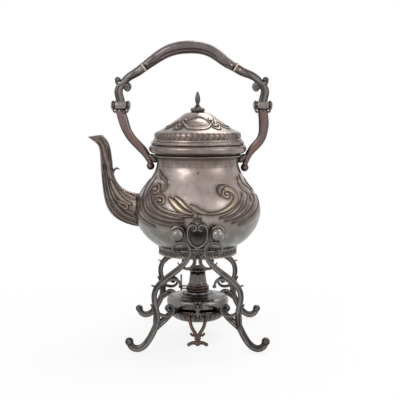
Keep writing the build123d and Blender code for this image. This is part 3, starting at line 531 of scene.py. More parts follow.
def legParts(values):
    # The left front leg: limbs swept from the rolled foot to the loop round a stud, with scrolls and a strut
    small = values["small"]
    count = values["count"]
    deep = values["scrollDepth"]
    mainLine = [
        (-83.0, 12.0), (-79.6, 7.2), (-73.0, 4.9), (-65.6, 8.0), (-59.0, 16.0), (-52.6, 28.0),
        (-48.9, 40.0), (-49.3, 51.5), (-52.2, 65.0), (-50.6, 77.0), (-44.5, 85.6), (-27.0, 99.6),
        (-17.2, 108.4), (-11.2, 116.6), (-9.4, 125.4), (-13.0, 132.9), (-20.6, 135.4), (-27.8, 131.8),
        (-29.2, 126.2), (-25.6, 122.3), (-22.4, 124.2),
    ]
    widths = [
        7.0, 8.4, 8.4, 8.4, 8.2, 8.2, 7.4, 6.6, 6.8, 7.0, 7.2, 7.4, 6.8, 5.8, 5.0, 4.2, 3.6, 3.6, 3.2, 3.0,
        2.6,
    ]
    depths = [7.2] * 13 + [5.8] * 8
    parts = [sweep(onFrame(mainLine), widths, depths, values["rings"], count, "channel")]
    tendril = [(-46.6, 80.6), (-42.0, 85.0), (-35.0, 89.6), (-27.8, 90.8), (-22.6, 88.0), (-20.6, 83.0)]
    parts.append(sweep(onFrame(tendril), [4.0, 4.6, 4.6, 4.0, 3.4, 3.0], [deep] * 6, small, count, "channel"))
    parts.append(ball((-38.6, -frameY, 86.2), 1.9))
    volute = [
        (-49.8, 52.0), (-46.0, 47.6), (-39.5, 45.4), (-32.6, 46.4), (-28.9, 51.4), (-30.6, 57.2),
        (-35.6, 58.6), (-38.6, 54.8), (-36.4, 51.6),
    ]
    widths = [4.2, 4.2, 4.0, 3.8, 3.4, 3.0, 2.6, 2.4, 2.2]
    parts.append(sweep(onFrame(volute), widths, [deep] * 9, 60, count, "channel"))
    curl = [(-10.2, 121.2), (-5.4, 117.6), (-3.4, 112.6), (-5.2, 107.0), (-10.6, 103.4), (-18.0, 104.6)]
    parts.append(sweep(onFrame(curl), [3.4, 4.2, 4.6, 4.4, 3.6, 2.8], [deep] * 6, small, count, "leaf"))
    start = np.array([values["strutStart"][0], -frameY, values["strutStart"][1]])
    turn = math.radians(values["strutTurn"])
    radius = values["strutRadius"]
    end = np.array([-radius * math.cos(turn), -radius * math.sin(turn), rimZ + 2.6])
    strut = [start, start + np.array([11.4, 9.0, 9.4]), end + np.array([-8.0, -21.0, 2.0]), end]
    parts.append(sweep(strut, [7.4, 8.6, 7.6, 5.2], [6.2, 6.2, 5.6, 5.0], small, count, "leaf"))
    for root, tip, size in values["thorns"]:
        middle = ((root[0] + tip[0]) / 2, (root[1] + tip[1]) / 2 + 0.6)
        parts.append(sweep(onFrame([root, middle, tip]), [size, size * 0.7, size * 0.3], [size] * 3, 12))
        parts.append(ball((tip[0], -frameY, tip[1]), size * 0.3, 10))
    for x, z, size in values["bosses"]:
        parts.append(ball((x, -frameY, z), size, eye=0.9))
    leaf = [(-52.4, 28.0), (-50.2, 40.0), (-51.6, 51.0), (-56.4, 59.6)]
    parts.append(sweep(onFrame(leaf), [5.0, 7.6, 5.6, 1.6], [8.0, 8.4, 7.4, 3.0], 30, count, "leaf"))
    return parts


leftLeg = legParts(legValues)
legPairs = {"Left": leftLeg, "Right": [mirrored(part, 0) for part in leftLeg]}
for end in ("front", "rear"):
    for side, leg in legPairs.items():
        casting = leg if end == "front" else [mirrored(part, 1) for part in leg]
        addPiece(end + side + "LegCasting", casting, "stand", standPlate,
                 end + "_" + side.lower() + "_leg")

cartoucheValues = {
    "half": 11.8, "high": 27.4, "drop": 8.0,
    # petals of the palmette: degrees from level, and length
    "petals": ((24, 6.4), (56, 8.6), (90, 10.4), (124, 8.6), (156, 6.4)),
}


def cartoucheParts(values):
    # A heart shaped rim of two scrolls round an opening, with a palmette above it
    low = loopTop - values["drop"]
    high = low + values["high"]
    half = values["half"]
    side = [
        (-0.04, 27.6), (0.3, 26.4), (0.7, 22.6), (0.96, 16.4), (1.02, 9.4), (0.86, 3.0), (0.5, 0.2),
        (0.14, 2.6), (0.16, 6.0), (0.4, 7.4),
    ]
    line = [(x * half, -frameY, high - z) for x, z in side]
    rim = marked(sweep(line, [2.5] * 6 + [2.4, 2.2, 2.0, 1.8], [4.8] * 10, 100), "ridge", 0.55)
    inner = [(x * (half - 2.6), -frameY, high - 2.0 - z * 0.86) for x, z in side[:6]]
    lining = marked(sweep(inner, [1.3] * 6, [3.4] * 6, 60), "cavity", 0.5)
    parts = [rim, mirrored(rim, 0), lining, mirrored(lining, 0)]
    for way in (-1, 1):
        parts.append(ball((way * 0.4 * half, -frameY, high - 7.2), 1.7))
        lobe = onFrame([(way * 1.0, low - 1.6), (way * 4.6, low - 2.6), (way * 8.6, low - 1.0)])
        parts.append(sweep(lobe, [3.6, 3.2, 2.6], [4.4] * 3, 20))
    for angle, length in values["petals"]:
        turn = math.radians(angle)
        reach = np.array([0.0, 0.5, 0.85, 1.0]) * length
        petal = onFrame(zip(reach * math.cos(turn), high + 1.4 + reach * math.sin(turn)))
        parts.append(sweep(petal, [2.0, 3.0, 2.4, 1.2], [3.6, 3.4, 2.6, 1.6], 18, 20, "leaf"))
    parts.append(ball((0, -frameY, high + 1.2), 2.7, squash=0.8))
    parts.append(ball((0, -frameY, low - 1.8), 2.9, squash=0.8))
    return parts


addFrontAndRear("CartoucheCasting", cartoucheParts(cartoucheValues), "stand", standPlate,
                "cartouche")


# Pendant, drawn upright and leant forward about its top
pendantValues = {"lean": 36.5, "top": (0.0, -36.2, 33.7), "half": 13.0, "length": 43.0}


def pendantParts(values):
    # Two curved arms that meet in a stem, with a nub and a toe on each side
    length = values["length"]
    half = values["half"]
    arm = [
        (0.88 * half, 0, -1.0), (0.74 * half, 0, -8.0), (0.5 * half, 0, -0.42 * length),
        (2.4, 0, -0.6 * length), (1.7, 0, -0.74 * length),
    ]
    nub = [(2.6, 0, -0.58 * length), (0.5 * half, 0, -0.62 * length), (0.62 * half, 0, -0.58 * length)]
    toe = [(0.6, 0, -0.87 * length), (0.42 * half, 0, -0.85 * length), (0.78 * half, 0, -0.89 * length)]
    parts = []
    for line, widths in ((arm, [4.6, 4.4, 4.4, 4.6, 4.8]), (nub, [3.6, 3.0, 2.6]), (toe, [5.4, 4.4, 4.0])):
        limb = sweep(line, widths, [4.0] * len(widths), 30, 20, "worn")
        parts += [limb, mirrored(limb, 0)]
    for x, drop, size in ((0.62 * half, 0.58, 1.7), (0.84 * half, 0.905, 2.4)):
        knob = ball((x, 0, -drop * length), size, squash=0.8)
        parts += [knob, mirrored(knob, 0)]
    stem = [(0, 0, -0.6 * length), (0, 0, -0.76 * length), (0, 0, -0.9 * length)]
    parts.append(sweep(stem, [3.0, 6.4, 5.4], [4.0, 4.0, 3.6], 24))
    lean = math.radians(values["lean"])
    down = []
    for part in parts:
        grid = part["grid"]
        y = grid[:, :, 1] * math.cos(lean) + grid[:, :, 2] * math.sin(lean)
        z = grid[:, :, 2] * math.cos(lean) - grid[:, :, 1] * math.sin(lean)
        down.append(dict(part, grid=np.stack([grid[:, :, 0], y, z], axis=2) + np.array(values["top"])))
    return down


addFrontAndRear("PendantCasting", pendantParts(pendantValues), "stand", copperShow, "pendant")

clipValues = {"face": -41.1, "rosetteZ": 47.2, "petals": 6, "petalRadius": 4.6}


def clipParts(values):
    # A stem on the holder's rim with a rosette at its top and a curl on each side of its foot
    front = values["face"]
    rosetteZ = values["rosetteZ"]
    stem = [(0, front - 2.1, 31.0), (0, front - 2.1, 38.0), (0, front - 2.1, 46.0)]
    parts = [sweep(stem, [3.2, 4.6, 4.2], [2.4, 2.6, 2.4], 24, 20, "channel")]
    for turn in np.linspace(0, 2 * math.pi, values["petals"], endpoint=False):
        x = values["petalRadius"] * math.cos(turn)
        z = rosetteZ + values["petalRadius"] * math.sin(turn)
        parts.append(ball((x, front - 2.2, z), 2.3, 14, 0.62, 0.8))
    parts.append(ball((0, front - 3.0, rosetteZ), 2.6, 14, 0.8, 0.9))
    for way in (-1, 1):
        curl = [
            (way * 0.6, front - 2.2, 38.0), (way * 3.6, front - 2.2, 36.0), (way * 3.8, front - 2.2, 33.0),
        ]
        parts.append(sweep(curl, [2.2, 2.0, 1.4], [2.4, 2.2, 1.8], 20))
        parts.append(ball((way * 3.6, front - 2.4, 32.4), 1.5, 12))
    parts.append(ball((0, front - 2.6, 30.8), 2.8, 14, 0.8, 0.9))
    rest = [(-2.2, front - 0.4, 36.6), (0, front - 0.4, 36.6), (2.2, front - 0.4, 36.6)]
    parts.append(sweep(rest, [3.0] * 3, [2.0] * 3, 10))
    return parts


addFrontAndRear("ClipCasting", clipParts(clipValues), "stand", standPlate, "clip")
print("stand scrolls done")

# Burner and its holder
holderValues = {
    "outline": [
        (0.1, 22.0), (20.0, 22.0), (27.0, 22.2), (31.5, 24.4), (35.6, 28.0), (38.4, 31.4), (39.4, 33.4),
        (39.6, 33.8), (40.6, 34.2), (41.1, 35.2), (41.1, 36.2), (40.5, 36.7), (40.9, 37.2), (40.4, 38.1),
        (38.2, 38.1), (38.0, 33.6), (35.2, 29.3), (25.6, 23.8), (0.1, 23.6),
    ],
    "steps": 3, "segments": 216, "lobes": {"count": 36, "high": 0.8, "rows": (6, 18)},
    "grooves": (20, 21, 33, 34),
}
reservoirValues = {
    "outline": [
        (0.1, 23.7), (24.2, 23.7), (34.0, 29.5), (36.9, 36.6), (37.0, 38.4), (37.6, 39.6), (38.8, 40.6),
        (39.8, 42.6), (40.2, 45.4), (39.8, 48.2), (38.8, 50.2), (37.2, 51.6), (35.6, 52.2), (35.0, 51.9),
        (34.4, 52.3), (30.0, 52.9), (25.0, 53.2), (22.8, 53.8), (22.2, 54.6), (20.4, 54.9), (19.6, 55.4),
        (17.2, 55.4), (15.6, 55.6), (15.0, 56.4), (15.0, 57.2), (7.6, 57.3),
    ],
    "steps": 2, "segments": 160, "grooves": (26, 40, 41, 44),
}
columnValues = {
    "outline": [
        (7.6, 65.7), (12.5, 65.7), (12.6, 66.2), (12.6, 67.0), (12.0, 67.8), (11.7, 68.6), (9.7, 84.0),
        (7.6, 84.05),
    ],
    "steps": 3, "segments": 96, "grooves": (12, 13, 14, 18, 19),
}
crownValues = {
    "outline": [
        (7.0, 84.1), (9.6, 84.1), (11.0, 84.6), (11.2, 85.6), (10.4, 86.6), (9.2, 86.8), (8.6, 88.2),
        (8.0, 88.5), (6.3, 88.5),
    ],
    "steps": 2, "segments": 128, "lobes": {"count": 8, "high": 1.2, "rows": (2, 12)},
}
sleeveValues = {
    "outline": [
        (7.8, 57.5), (13.2, 57.5), (13.6, 58.4), (14.7, 58.9), (14.8, 60.0), (14.5, 60.8), (14.5, 62.6),
        (14.8, 63.2), (14.8, 64.2), (14.0, 65.3), (7.8, 65.4),
    ],
    "steps": 1, "segments": 144, "lobes": {"count": 72, "high": 0.3, "rows": (5, 7)}, "grooves": (5, 7),
}
addPiece("holderBowl", [turned(holderValues)], "stand", standPlate, "burner_holder")
for word, values in (("reservoir", reservoirValues), ("column", columnValues), ("crown", crownValues)):
    addPiece(word + "Shell", [turned(values)], "burner", burnerPlate, "burner_" + word)
addPiece("sleeveShell", [turned(sleeveValues)], "regulator", copperShow, "regulator_sleeve")
print("burner done")


# Relief on turned surfaces
carveValues = {
    "steps": 26, "perDegree": 0.7,  # points on a stroke's line, and the least millimetres to a degree
    "reach": 9.0, "filmReach": 3.5,  # how far a stroke's marks go past its border, and how far its film fades
}


def carve(turnDeg, height, radius, strokes, wide):
    # Raised strokes on a surface. A stroke is a smooth line of (degrees round, height) with half widths along
    # it, a height and a gilding. A chased groove runs along each border, and film gathers round it.
    shape = np.zeros_like(turnDeg)
    marks = {key: np.zeros_like(turnDeg) for key in ("cavity", "ridge", "film")}
    for stroke in strokes:
        line = smoothLine(stroke["line"], carveValues["steps"])
        half = spread(stroke["half"], stroke["line"], len(line))
        reach = max(stroke["half"]) + carveValues["reach"]
        degReach = reach / carveValues["perDegree"]
        box = (turnDeg > line[:, 0].min() - degReach) & (turnDeg < line[:, 0].max() + degReach)
        box &= (height > line[:, 1].min() - reach) & (height < line[:, 1].max() + reach)
        if not box.any():
            continue
        turn = turnDeg[box]
        z = height[box]
        perDegree = radius[box] * math.pi / 180
        best = np.full(turn.shape, 1e9)
        bestRatio = np.full(turn.shape, 1e9)
        for i in range(len(line) - 1):
            ax = (turn - line[i, 0]) * perDegree
            az = z - line[i, 1]
            bx = (line[i + 1, 0] - line[i, 0]) * perDegree
            bz = line[i + 1, 1] - line[i, 1]
            share = np.clip((ax * bx + az * bz) / (bx * bx + bz * bz + 1e-9), 0, 1)
            gap = np.hypot(ax - share * bx, az - share * bz)
            width = half[i] + (half[i + 1] - half[i]) * share
            ratio = gap / width
            nearer = ratio < bestRatio
            bestRatio = np.where(nearer, ratio, bestRatio)
            best = np.where(nearer, gap - width, best)
        inside = np.clip(1 - bestRatio ** 2, 0, 1)
        raised = stroke["high"] * inside ** 0.6
        groove = np.exp(-(best / wide) ** 2) * (best > -wide)
        shape[box] = np.maximum(shape[box] - stroke["cut"] * groove, raised)
        under = marks["cavity"][box] * (1 - inside) ** 0.5
        marks["cavity"][box] = np.maximum(under, groove * stroke["shade"])
        marks["ridge"][box] = np.maximum(marks["ridge"][box] * (1 - inside), inside ** 1.3 * stroke["gold"])
        around = stroke["film"] * np.exp(-(np.maximum(best, 0) / carveValues["filmReach"]) ** 2)
        marks["film"][box] = np.maximum(marks["film"][box], around)
    return shape, marks


def reliefGrid(profile, rows, segments, strokes, wide, lift=0.0):
    # A turned surface with strokes raised square to its outline, the same at the back as at the front
    line = smoothLine(profile, rows)
    tangent = np.gradient(line, axis=0)
    tangent /= np.linalg.norm(tangent, axis=1)[:, None]
    out = np.stack([tangent[:, 1], -tangent[:, 0]], axis=1)
    if out[rows // 2, 0] < 0:
        out = -out
    turn = np.linspace(-180, 180, segments, endpoint=False)
    turnDeg = np.repeat(turn[None, :], rows, axis=0)
    height = np.repeat(line[:, 1:2], segments, axis=1)
    radius = np.repeat(line[:, 0:1], segments, axis=1)
    folded = np.where(np.abs(turnDeg) <= 90, turnDeg, np.sign(turnDeg) * 180 - turnDeg)
    shape, marks = carve(folded, height, radius, strokes, wide)
    shape = shape + lift
    radius = radius + out[:, 0:1] * shape
    height = height + out[:, 1:2] * shape
    angle = np.radians(turnDeg)
    grid = np.stack([radius * np.sin(angle), -radius * np.cos(angle), height], axis=2)
    return patch(grid, marks["cavity"], marks["ridge"], marks["film"])


def stroke(line, half, high, gold=0.0, shade=0.85, cut=0.35, film=0.95):
    # One raised stroke: line, half widths, height, gilding, how dark and deep its grooves are, and its film
    return {"line": line, "half": half, "high": high, "gold": gold, "shade": shade, "cut": cut, "film": film}


# Kettle body
bodyProfile = [
    (50.4, 119.4), (55.5, 122.0), (62.3, 127.0), (68.2, 133.0), (72.1, 138.0), (75.4, 143.0), (78.7, 151.0),
    (81.0, 164.0), (78.4, 177.0), (71.8, 190.0), (66.2, 198.0), (62.4, 203.0), (56.2, 213.0), (53.0, 221.0),
    (52.6, 229.0), (53.9, 237.6),
]
bodyStrokes = [
    stroke([(-72, 214), (-76, 201), (-70, 188), (-63, 176), (-55, 167), (-44, 160), (-29, 155.5),
            (-14, 154.5)], [1.2, 2.2, 2.6, 2.6, 2.6, 2.4, 1.8, 0.8], 0.9, 0.06),
    stroke([(-63, 208), (-64, 196), (-60, 184), (-53, 173), (-42, 165.5), (-27, 160.5), (-12, 159)],
           [1.2, 2.2, 2.5, 2.5, 2.3, 1.8, 0.8], 0.9, 0.08),
    stroke([(-60, 199), (-54, 187.5), (-47, 178), (-37, 170), (-24, 165), (-12, 163)],
           [1.0, 2.2, 2.3, 2.2, 1.8, 0.8], 0.9, 0.1),
    stroke([(-50, 189), (-45, 182.5), (-37, 175), (-27, 169.5), (-15, 166.5), (-5, 166.0)],
           [1.0, 1.9, 2.1, 2.0, 1.7, 0.8], 0.9, 0.15),
    stroke([(-82, 204), (-86, 190), (-79, 176), (-70, 164), (-58, 156.5), (-42, 151.5)],
           [1.2, 2.4, 2.8, 2.8, 2.4, 0.9], 0.9, 0.05),
    stroke([(-62, 218), (-54, 212.5), (-44, 208), (-37, 202), (-36.5, 196.5), (-40, 193.5)],
           [0.8, 1.6, 2.0, 1.9, 1.5, 1.0], 0.8, 0.1),
    stroke([(-57, 189.5), (-58.5, 196.5), (-53, 201), (-46, 199), (-43.5, 194), (-47, 190.5), (-51, 193)],
           [1.2, 1.6, 1.8, 1.8, 1.6, 1.4, 1.4], 1.2, 0.5),
    stroke([(-51.5, 195.5), (-49.5, 195.5)], [2.2, 2.2], 1.5, 1.0),
    stroke([(-44.5, 181), (-43.5, 186.5), (-38, 188.4), (-33, 185.4), (-32.5, 181), (-36.5, 179)],
           [1.1, 1.5, 1.6, 1.6, 1.4, 1.2], 1.1, 0.5),
    stroke([(-38.5, 183.6), (-36.5, 183.2)], [1.7, 1.7], 1.3, 1.0),
    stroke([(-43.5, 184), (-37.5, 177), (-29, 172), (-20, 169.3), (-11, 168)],
           [1.4, 1.9, 2.0, 1.7, 0.8], 1.0, 0.3),
    stroke([(-27, 186), (-22.5, 181.5), (-17, 175.5), (-11, 171), (-4.5, 168.6)],
           [1.8, 3.5, 3.5, 2.5, 1.0], 1.4, 0.75),
    stroke([(-21.5, 187.6), (-16.5, 183.6), (-11, 177.6), (-5.5, 172.6)],
           [1.5, 2.6, 2.4, 1.0], 1.3, 0.75),
    stroke([(-5.5, 177.8), (-2, 175), (2, 171.8), (8, 169.6), (16, 169.2)],
           [1.8, 3.1, 2.8, 1.8, 1.0], 1.3, 0.6),
    stroke([(8, 168.6), (17, 169.7), (26, 173.4), (34.5, 179.6), (39.5, 187), (38, 193.5), (32.5, 196.6),
            (27, 194)], [1.0, 1.7, 2.5, 3.2, 3.5, 3.2, 2.7, 2.1], 1.3, 0.55),
    stroke([(27, 194), (26, 189.5), (30, 187.4), (32.5, 190.6)], [1.8, 1.7, 1.6, 1.5], 1.3, 0.9),
    stroke([(29.4, 191.2), (30.6, 190.6)], [1.9, 1.9], 1.7, 1.0),
    stroke([(23, 189.5), (20.5, 195.5), (24, 200.8), (31, 202.4)], [0.45, 0.7, 0.7, 0.4], 0.4, 0.1),
    stroke([(50, 190), (46.5, 183.5), (41, 177), (32, 169), (20, 164)], [0.9, 2.1, 2.3, 2.0, 0.8], 0.9, 0.12),
    stroke([(60, 188), (54.5, 181), (48, 173.5), (38, 165.8), (25, 160)], [0.9, 2.3, 2.6, 2.3, 0.8], 0.9,
           0.1),
    stroke([(73, 186), (66, 178), (57, 170.5), (46, 163), (32, 157)], [0.9, 2.5, 2.7, 2.4, 0.8], 0.9, 0.06),
    stroke([(86, 184), (78, 174), (67, 166.5), (54, 159.5), (40, 154)], [0.9, 2.6, 2.8, 2.4, 0.8], 0.9, 0.05),
    stroke([(66, 211), (64, 203.5), (69, 197.5), (73, 192), (69, 187)], [0.8, 1.8, 2.3, 2.0, 1.2], 1.2, 0.75),
    stroke([(58, 209), (54, 201), (57, 193), (62, 187), (60, 181.5)], [0.7, 1.6, 2.0, 1.8, 1.0], 1.0, 0.35),
    stroke([(80, 206), (77, 199), (81, 192)], [0.7, 1.8, 1.0], 1.0, 0.3),
]
bodyValues = {"seamZ": 151.0, "lowRows": 44, "rows": 150, "segments": 620, "groove": 0.75, "lift": 0.12}
dirtAndShadeValues = {
    # a darker band runs down from the collar to this height with an uneven lower edge: height, count round,
    # shift
    "dripZ": 223.5, "drips": ((1.1, 11, 0.6), (0.9, 23, 1.9), (0.8, 41, 0.0)), "dripFade": 2.2,
    "neckDark": 0.95,
    # dark rings: amount, height, width
    "rings": ((0.55, 231.6, 0.9), (0.33, 222.6, 0.5)),
    # painted shadow behind the cartouche and round the studs: widths across and up
    "heartShadow": (13.0, 11.5), "heartShadowDark": 0.93, "studs": (8.5, 10.0),
    # a pit in the front of the neck: amount, across, up, widths
    "pit": (0.85, 0.6, 216.4, 1.3, 1.7),
}


def bodySkin(profile, rows, values, dirtAndShade):
    # The turned and chased body between the heights of the profile, with its film, dark bands, painted shadow
    # behind the cartouche and round the studs, and pit
    skin = reliefGrid(profile, rows, values["segments"], bodyStrokes, values["groove"], values["lift"])
    across, back, height = np.moveaxis(skin["grid"], 2, 0)
    turn = np.arctan2(across, -back)
    drip = dirtAndShade["dripZ"] + sum(high * np.sin(count * turn + shift) for high, count, shift in dirtAndShade["drips"])
    neck = 1 / (1 + np.exp((drip - height) / dirtAndShade["dripFade"]))
    apart = np.abs(across)
    # painted shadow round the studs, put into the film mark
    studs = bump(apart, studX, dirtAndShade["studs"][0]) * bump(height, pivotZ + 2.0, dirtAndShade["studs"][1])
    skin["film"] = np.maximum(np.maximum(skin["film"], dirtAndShade["neckDark"] * neck), studs)
    # painted shadow behind the cartouche, put into the cavity mark
    heartShadow = bump(apart, 0.0, dirtAndShade["heartShadow"][0]) * bump(height, pivotZ - 0.2, dirtAndShade["heartShadow"][1])
    amount, x, z, wide, tall = dirtAndShade["pit"]
    pit = amount * bump(across, x, wide) * bump(height, z, tall) * (back < 0)
    rings = sum(amount * bump(height, z, wide) for amount, z, wide in dirtAndShade["rings"])
    skin["cavity"] = np.clip(skin["cavity"] + rings + dirtAndShade["heartShadowDark"] * heartShadow + pit, 0, 1)
    return skin


seamZ = bodyValues["seamZ"]
lowProfile = [point for point in bodyProfile if point[1] <= seamZ]
highProfile = [point for point in bodyProfile if point[1] >= seamZ]
for word, profile, rows in (("lower", lowProfile, "lowRows"), ("upper", highProfile, "rows")):
    skin = bodySkin(profile, bodyValues[rows], bodyValues, dirtAndShadeValues)
    addPiece(word + "BodySkin", [skin], "kettle", kettlePlate, capped=False)
print("body done")

# Foot ring, with a band of raised scrolls
footValues = {"rows": 46, "segments": 560, "scrolls": 19, "step": 10.0, "groove": 0.6, "recessZ": 113.4}
footLine = [
    (49.6, 107.8), (50.6, 108.2), (51.0, 109.4), (50.2, 110.6), (49.6, 112.4), (49.8, 114.6), (50.6, 116.2),
    (51.3, 117.2), (51.2, 118.4), (50.3, 119.6),
]
footInner = [(50.3, 119.6), (46.8, 119.4), (46.8, 117.0), (47.2, 108.0), (49.6, 107.8)]
footScroll = [(-4.2, 111.2), (-2.4, 114.4), (1.4, 115.0), (2.4, 112.8), (0.4, 111.8)]
footStrokes = []
for index in range(footValues["scrolls"]):
    centre = (index - footValues["scrolls"] // 2) * footValues["step"]
    scroll = [(centre + turn, z) for turn, z in footScroll]
    footStrokes.append(stroke(scroll, [0.6, 0.9, 1.0, 0.9, 0.7], 0.8, 0.15, film=0.3))
foot = reliefGrid(footLine, footValues["rows"], footValues["segments"], footStrokes, footValues["groove"])
height = foot["grid"][:, :, 2]
# painted shade: the band's ground round the scrolls is darkened, as openwork lying in shadow
recess = 0.85 * bump(height, footValues["recessZ"], 2.4) * (1 - np.clip(foot["ridge"] * 7.0, 0, 1))
foot["cavity"] = np.maximum(foot["cavity"], recess)
foot["ridge"] = np.maximum(foot["ridge"], 0.35 * bump(height, 109.0, 0.9))
footParts = [foot, lathe(footInner, 216)]
addPiece("footSkirt", footParts, "kettle", kettlePlate, "foot_ring", capped=False)

# Collar and the bead under it
collarValues = {
    "outline": [
        (50.0, 237.7), (55.6, 237.7), (57.0, 238.2), (58.0, 238.1), (59.0, 238.5), (61.2, 240.0),
        (62.3, 242.0), (62.6, 244.0), (62.2, 246.0), (61.0, 247.5), (59.9, 247.9), (59.4, 248.6),
        (58.8, 248.9), (50.0, 248.9), (50.0, 237.7),
    ],
    "steps": 3, "segments": 216, "grooves": (8, 9, 30, 31, 34, 35, 36), "film": 0.6,
}
beadValues = {
    "outline": [
        (51.8, 233.3), (55.8, 233.6), (57.0, 234.3), (57.2, 235.0), (56.8, 235.8), (55.4, 236.3),
        (51.8, 236.3),
    ],
    "steps": 2, "segments": 288, "lobes": {"count": 96, "high": 0.5, "rows": (3, 10)},
    "grooves": (1, 2, 11), "film": 0.7,
}
collar = marked(turned(collarValues), "film", collarValues["film"])
addPiece("collarShell", [collar], "kettle", kettlePlate, "neck_collar", capped=False)
bead = marked(turned(beadValues), "film", beadValues["film"])
addPiece("beadRing", [bead], "kettle", kettlePlate, "neck_bead", capped=False)

# Studs, each with a flange on the belly
studValues = {
    "outline": [
        (0.1, 7.5), (2.4, 7.3), (3.6, 6.9), (5.6, 5.7), (7.4, 3.4), (8.2, 0.4), (7.8, -2.6), (6.2, -5.4),
        (4.6, -6.8), (4.6, -20.0),
    ],
    "steps": 2, "segments": 60, "grooves": (14, 15),
}
flangeValues = {
    "outline": [
        (0.1, 14.6), (5.6, 14.2), (6.6, 13.2), (7.4, 13.8), (9.2, 12.6), (10.0, 11.0), (9.4, 9.4),
        (9.6, 2.0),
    ],
    "steps": 2, "segments": 96, "lobes": {"count": 24, "high": 0.5, "rows": (9, 12)}, "grooves": (4, 5),
    "y": -63.6,
}


def studParts(side):
    # The knob of a stud and its flange, turned about Y
    knob = turned(studValues)
    knob["cavity"][4] = 0.45
    knob = alongY(knob, (side * studX, -frameY, pivotZ))
    return [knob, alongY(turned(flangeValues), (side * studX, flangeValues["y"], pivotZ + 1.0))]


for side, word in ((-1, "left"), (1, "right")):
    name = word.capitalize() + "StudKnob"
    addFrontAndRear(name, studParts(side), "kettle", kettlePlate, word + "_stud")
print("foot, collar and studs done")

# Lid
domeProfile = [
    (54.8, 256.7), (54.8, 262.4), (53.6, 264.4), (51.9, 265.4), (46.8, 267.8), (37.9, 273.0), (30.7, 278.2),
    (23.0, 283.4), (16.6, 288.0), (9.0, 290.1),
]
domeValues = {"rows": 130, "segments": 600, "groove": 0.75, "lift": 0.12, "gadroons": 25, "gadroonStep": 7.4}
lidStrokes = [
    stroke([(-29, 275.4), (-24, 280.6), (-12, 284.2), (0, 285.2), (12, 284.2), (24, 280.6), (29, 275.4)],
           [1.2, 1.3, 1.5, 1.5, 1.5, 1.3, 1.2], 1.1, 0.15, 0.75, film=0.5),
    stroke([(-29, 275.4), (-18, 271.2), (0, 269.6), (18, 271.2), (29, 275.4)], [1.2, 1.4, 1.5, 1.4, 1.2],
           1.1, 0.25, 0.75, film=0.5),
    stroke([(-12, 277.2), (0, 277.6), (12, 277.2)], [3.8, 4.8, 3.8], 0.7, 0.12, 0.5, 0.15, 0.4),
]
# Strokes on both sides of the oval: line, half widths, height and gilding
sideStrokes = [
    ([(30, 279.6), (37, 280.6), (41, 276.6), (36, 273.2), (32, 275.6), (35, 277.6)],
     [1.2, 1.7, 1.8, 1.6, 1.3, 1.2], 1.2, 0.3),
    ([(28, 271.6), (34, 269.8), (42, 271.2), (46, 273.6)], [0.9, 1.5, 1.4, 0.8], 1.0, 0.25),
    ([(43, 276.2), (49, 279.4), (56, 277.4), (62, 273.8), (70, 273.4), (78, 271.6)],
     [1.3, 1.9, 1.7, 1.4, 1.6, 0.8], 1.0, 0.2),
    ([(50, 273.6), (57, 271.4), (64, 269.2)], [1.0, 1.5, 0.8], 0.9, 0.15),
]
for line, half, high, gold in sideStrokes:
    for way in (-1, 1):
        lidStrokes.append(stroke([(way * turn, z) for turn, z in line], half, high, gold))
sideways = domeValues["gadroons"] // 2
for index in range(-sideways, sideways + 1):
    centre = index * domeValues["gadroonStep"]
    # painted highlight: gilding grows towards the sides of the band, where the gadroons catch more light
    gold = 0.12 + 0.4 * (abs(index) / sideways) ** 2
    lidStrokes.append(stroke([(centre - 2.2, 257.9), (centre + 0.4, 260.4), (centre - 0.6, 263.2)],
                             [0.7, 1.1, 0.8], 0.35, gold, 0.5, 0.15, 0.85))
dome = reliefGrid(domeProfile, domeValues["rows"], domeValues["segments"], lidStrokes, domeValues["groove"],
                  domeValues["lift"])
addPiece("domeSkin", [dome], "lid", kettlePlate, capped=False)

lidRimValues = {
    "outline": [
        (49.7, 249.0), (58.6, 249.0), (59.5, 249.5), (59.8, 250.5), (59.7, 251.8), (59.0, 252.8),
        (57.9, 253.3), (57.4, 253.2), (57.2, 254.0), (57.0, 255.2), (56.2, 256.2), (55.2, 256.4),
        (54.2, 256.7), (49.7, 256.5), (49.7, 249.0),
    ],
    "steps": 2, "segments": 216, "grooves": (2, 3, 13, 14, 15, 22, 23), "film": 0.6,
}
lidRim = marked(turned(lidRimValues), "film", lidRimValues["film"])
addPiece("rimShell", [lidRim], "lid", kettlePlate, "lid_rim", capped=False)

rosetteValues = {
    "outline": [
        (1.6, 289.8), (8.0, 289.8), (8.4, 291.0), (7.4, 293.0), (5.4, 296.0), (3.4, 297.6), (3.0, 298.2),
        (1.6, 298.3),
    ],
    "steps": 1, "segments": 64, "grooves": (2, 5, 6), "petals": 8, "petalRadius": 6.6, "petalZ": 293.0,
}
budValues = {
    "outline": [
        (0.1, 298.3), (2.6, 298.3), (2.9, 299.0), (2.0, 299.8), (1.9, 300.6), (2.6, 302.6), (3.1, 305.4),
        (2.9, 308.4), (2.1, 311.6), (1.2, 314.4), (0.5, 316.1), (0.1, 316.3),
    ],
    "steps": 2, "segments": 48, "lobes": {"count": 6, "high": 0.7, "rows": (9, 20)}, "grooves": (5, 6),
}


def rosetteParts(values):
    # A turned cup with a ring of petals on it
    parts = [turned(values)]
    for turn in np.linspace(0, 2 * math.pi, values["petals"], endpoint=False):
        place = (values["petalRadius"] * math.cos(turn), values["petalRadius"] * math.sin(turn),
                 values["petalZ"])
        parts.append(ball(place, 2.75, 14))
    return parts


addPiece("rosetteKnob", rosetteParts(rosetteValues), "lid", scrollPlate, "knob_rosette")
screw = lathe([(1.4, 283.0), (1.4, 298.6)], 16)
addPiece("budKnob", [turned(budValues), screw], "lid", scrollPlate, "knob_bud")
print("lid done")

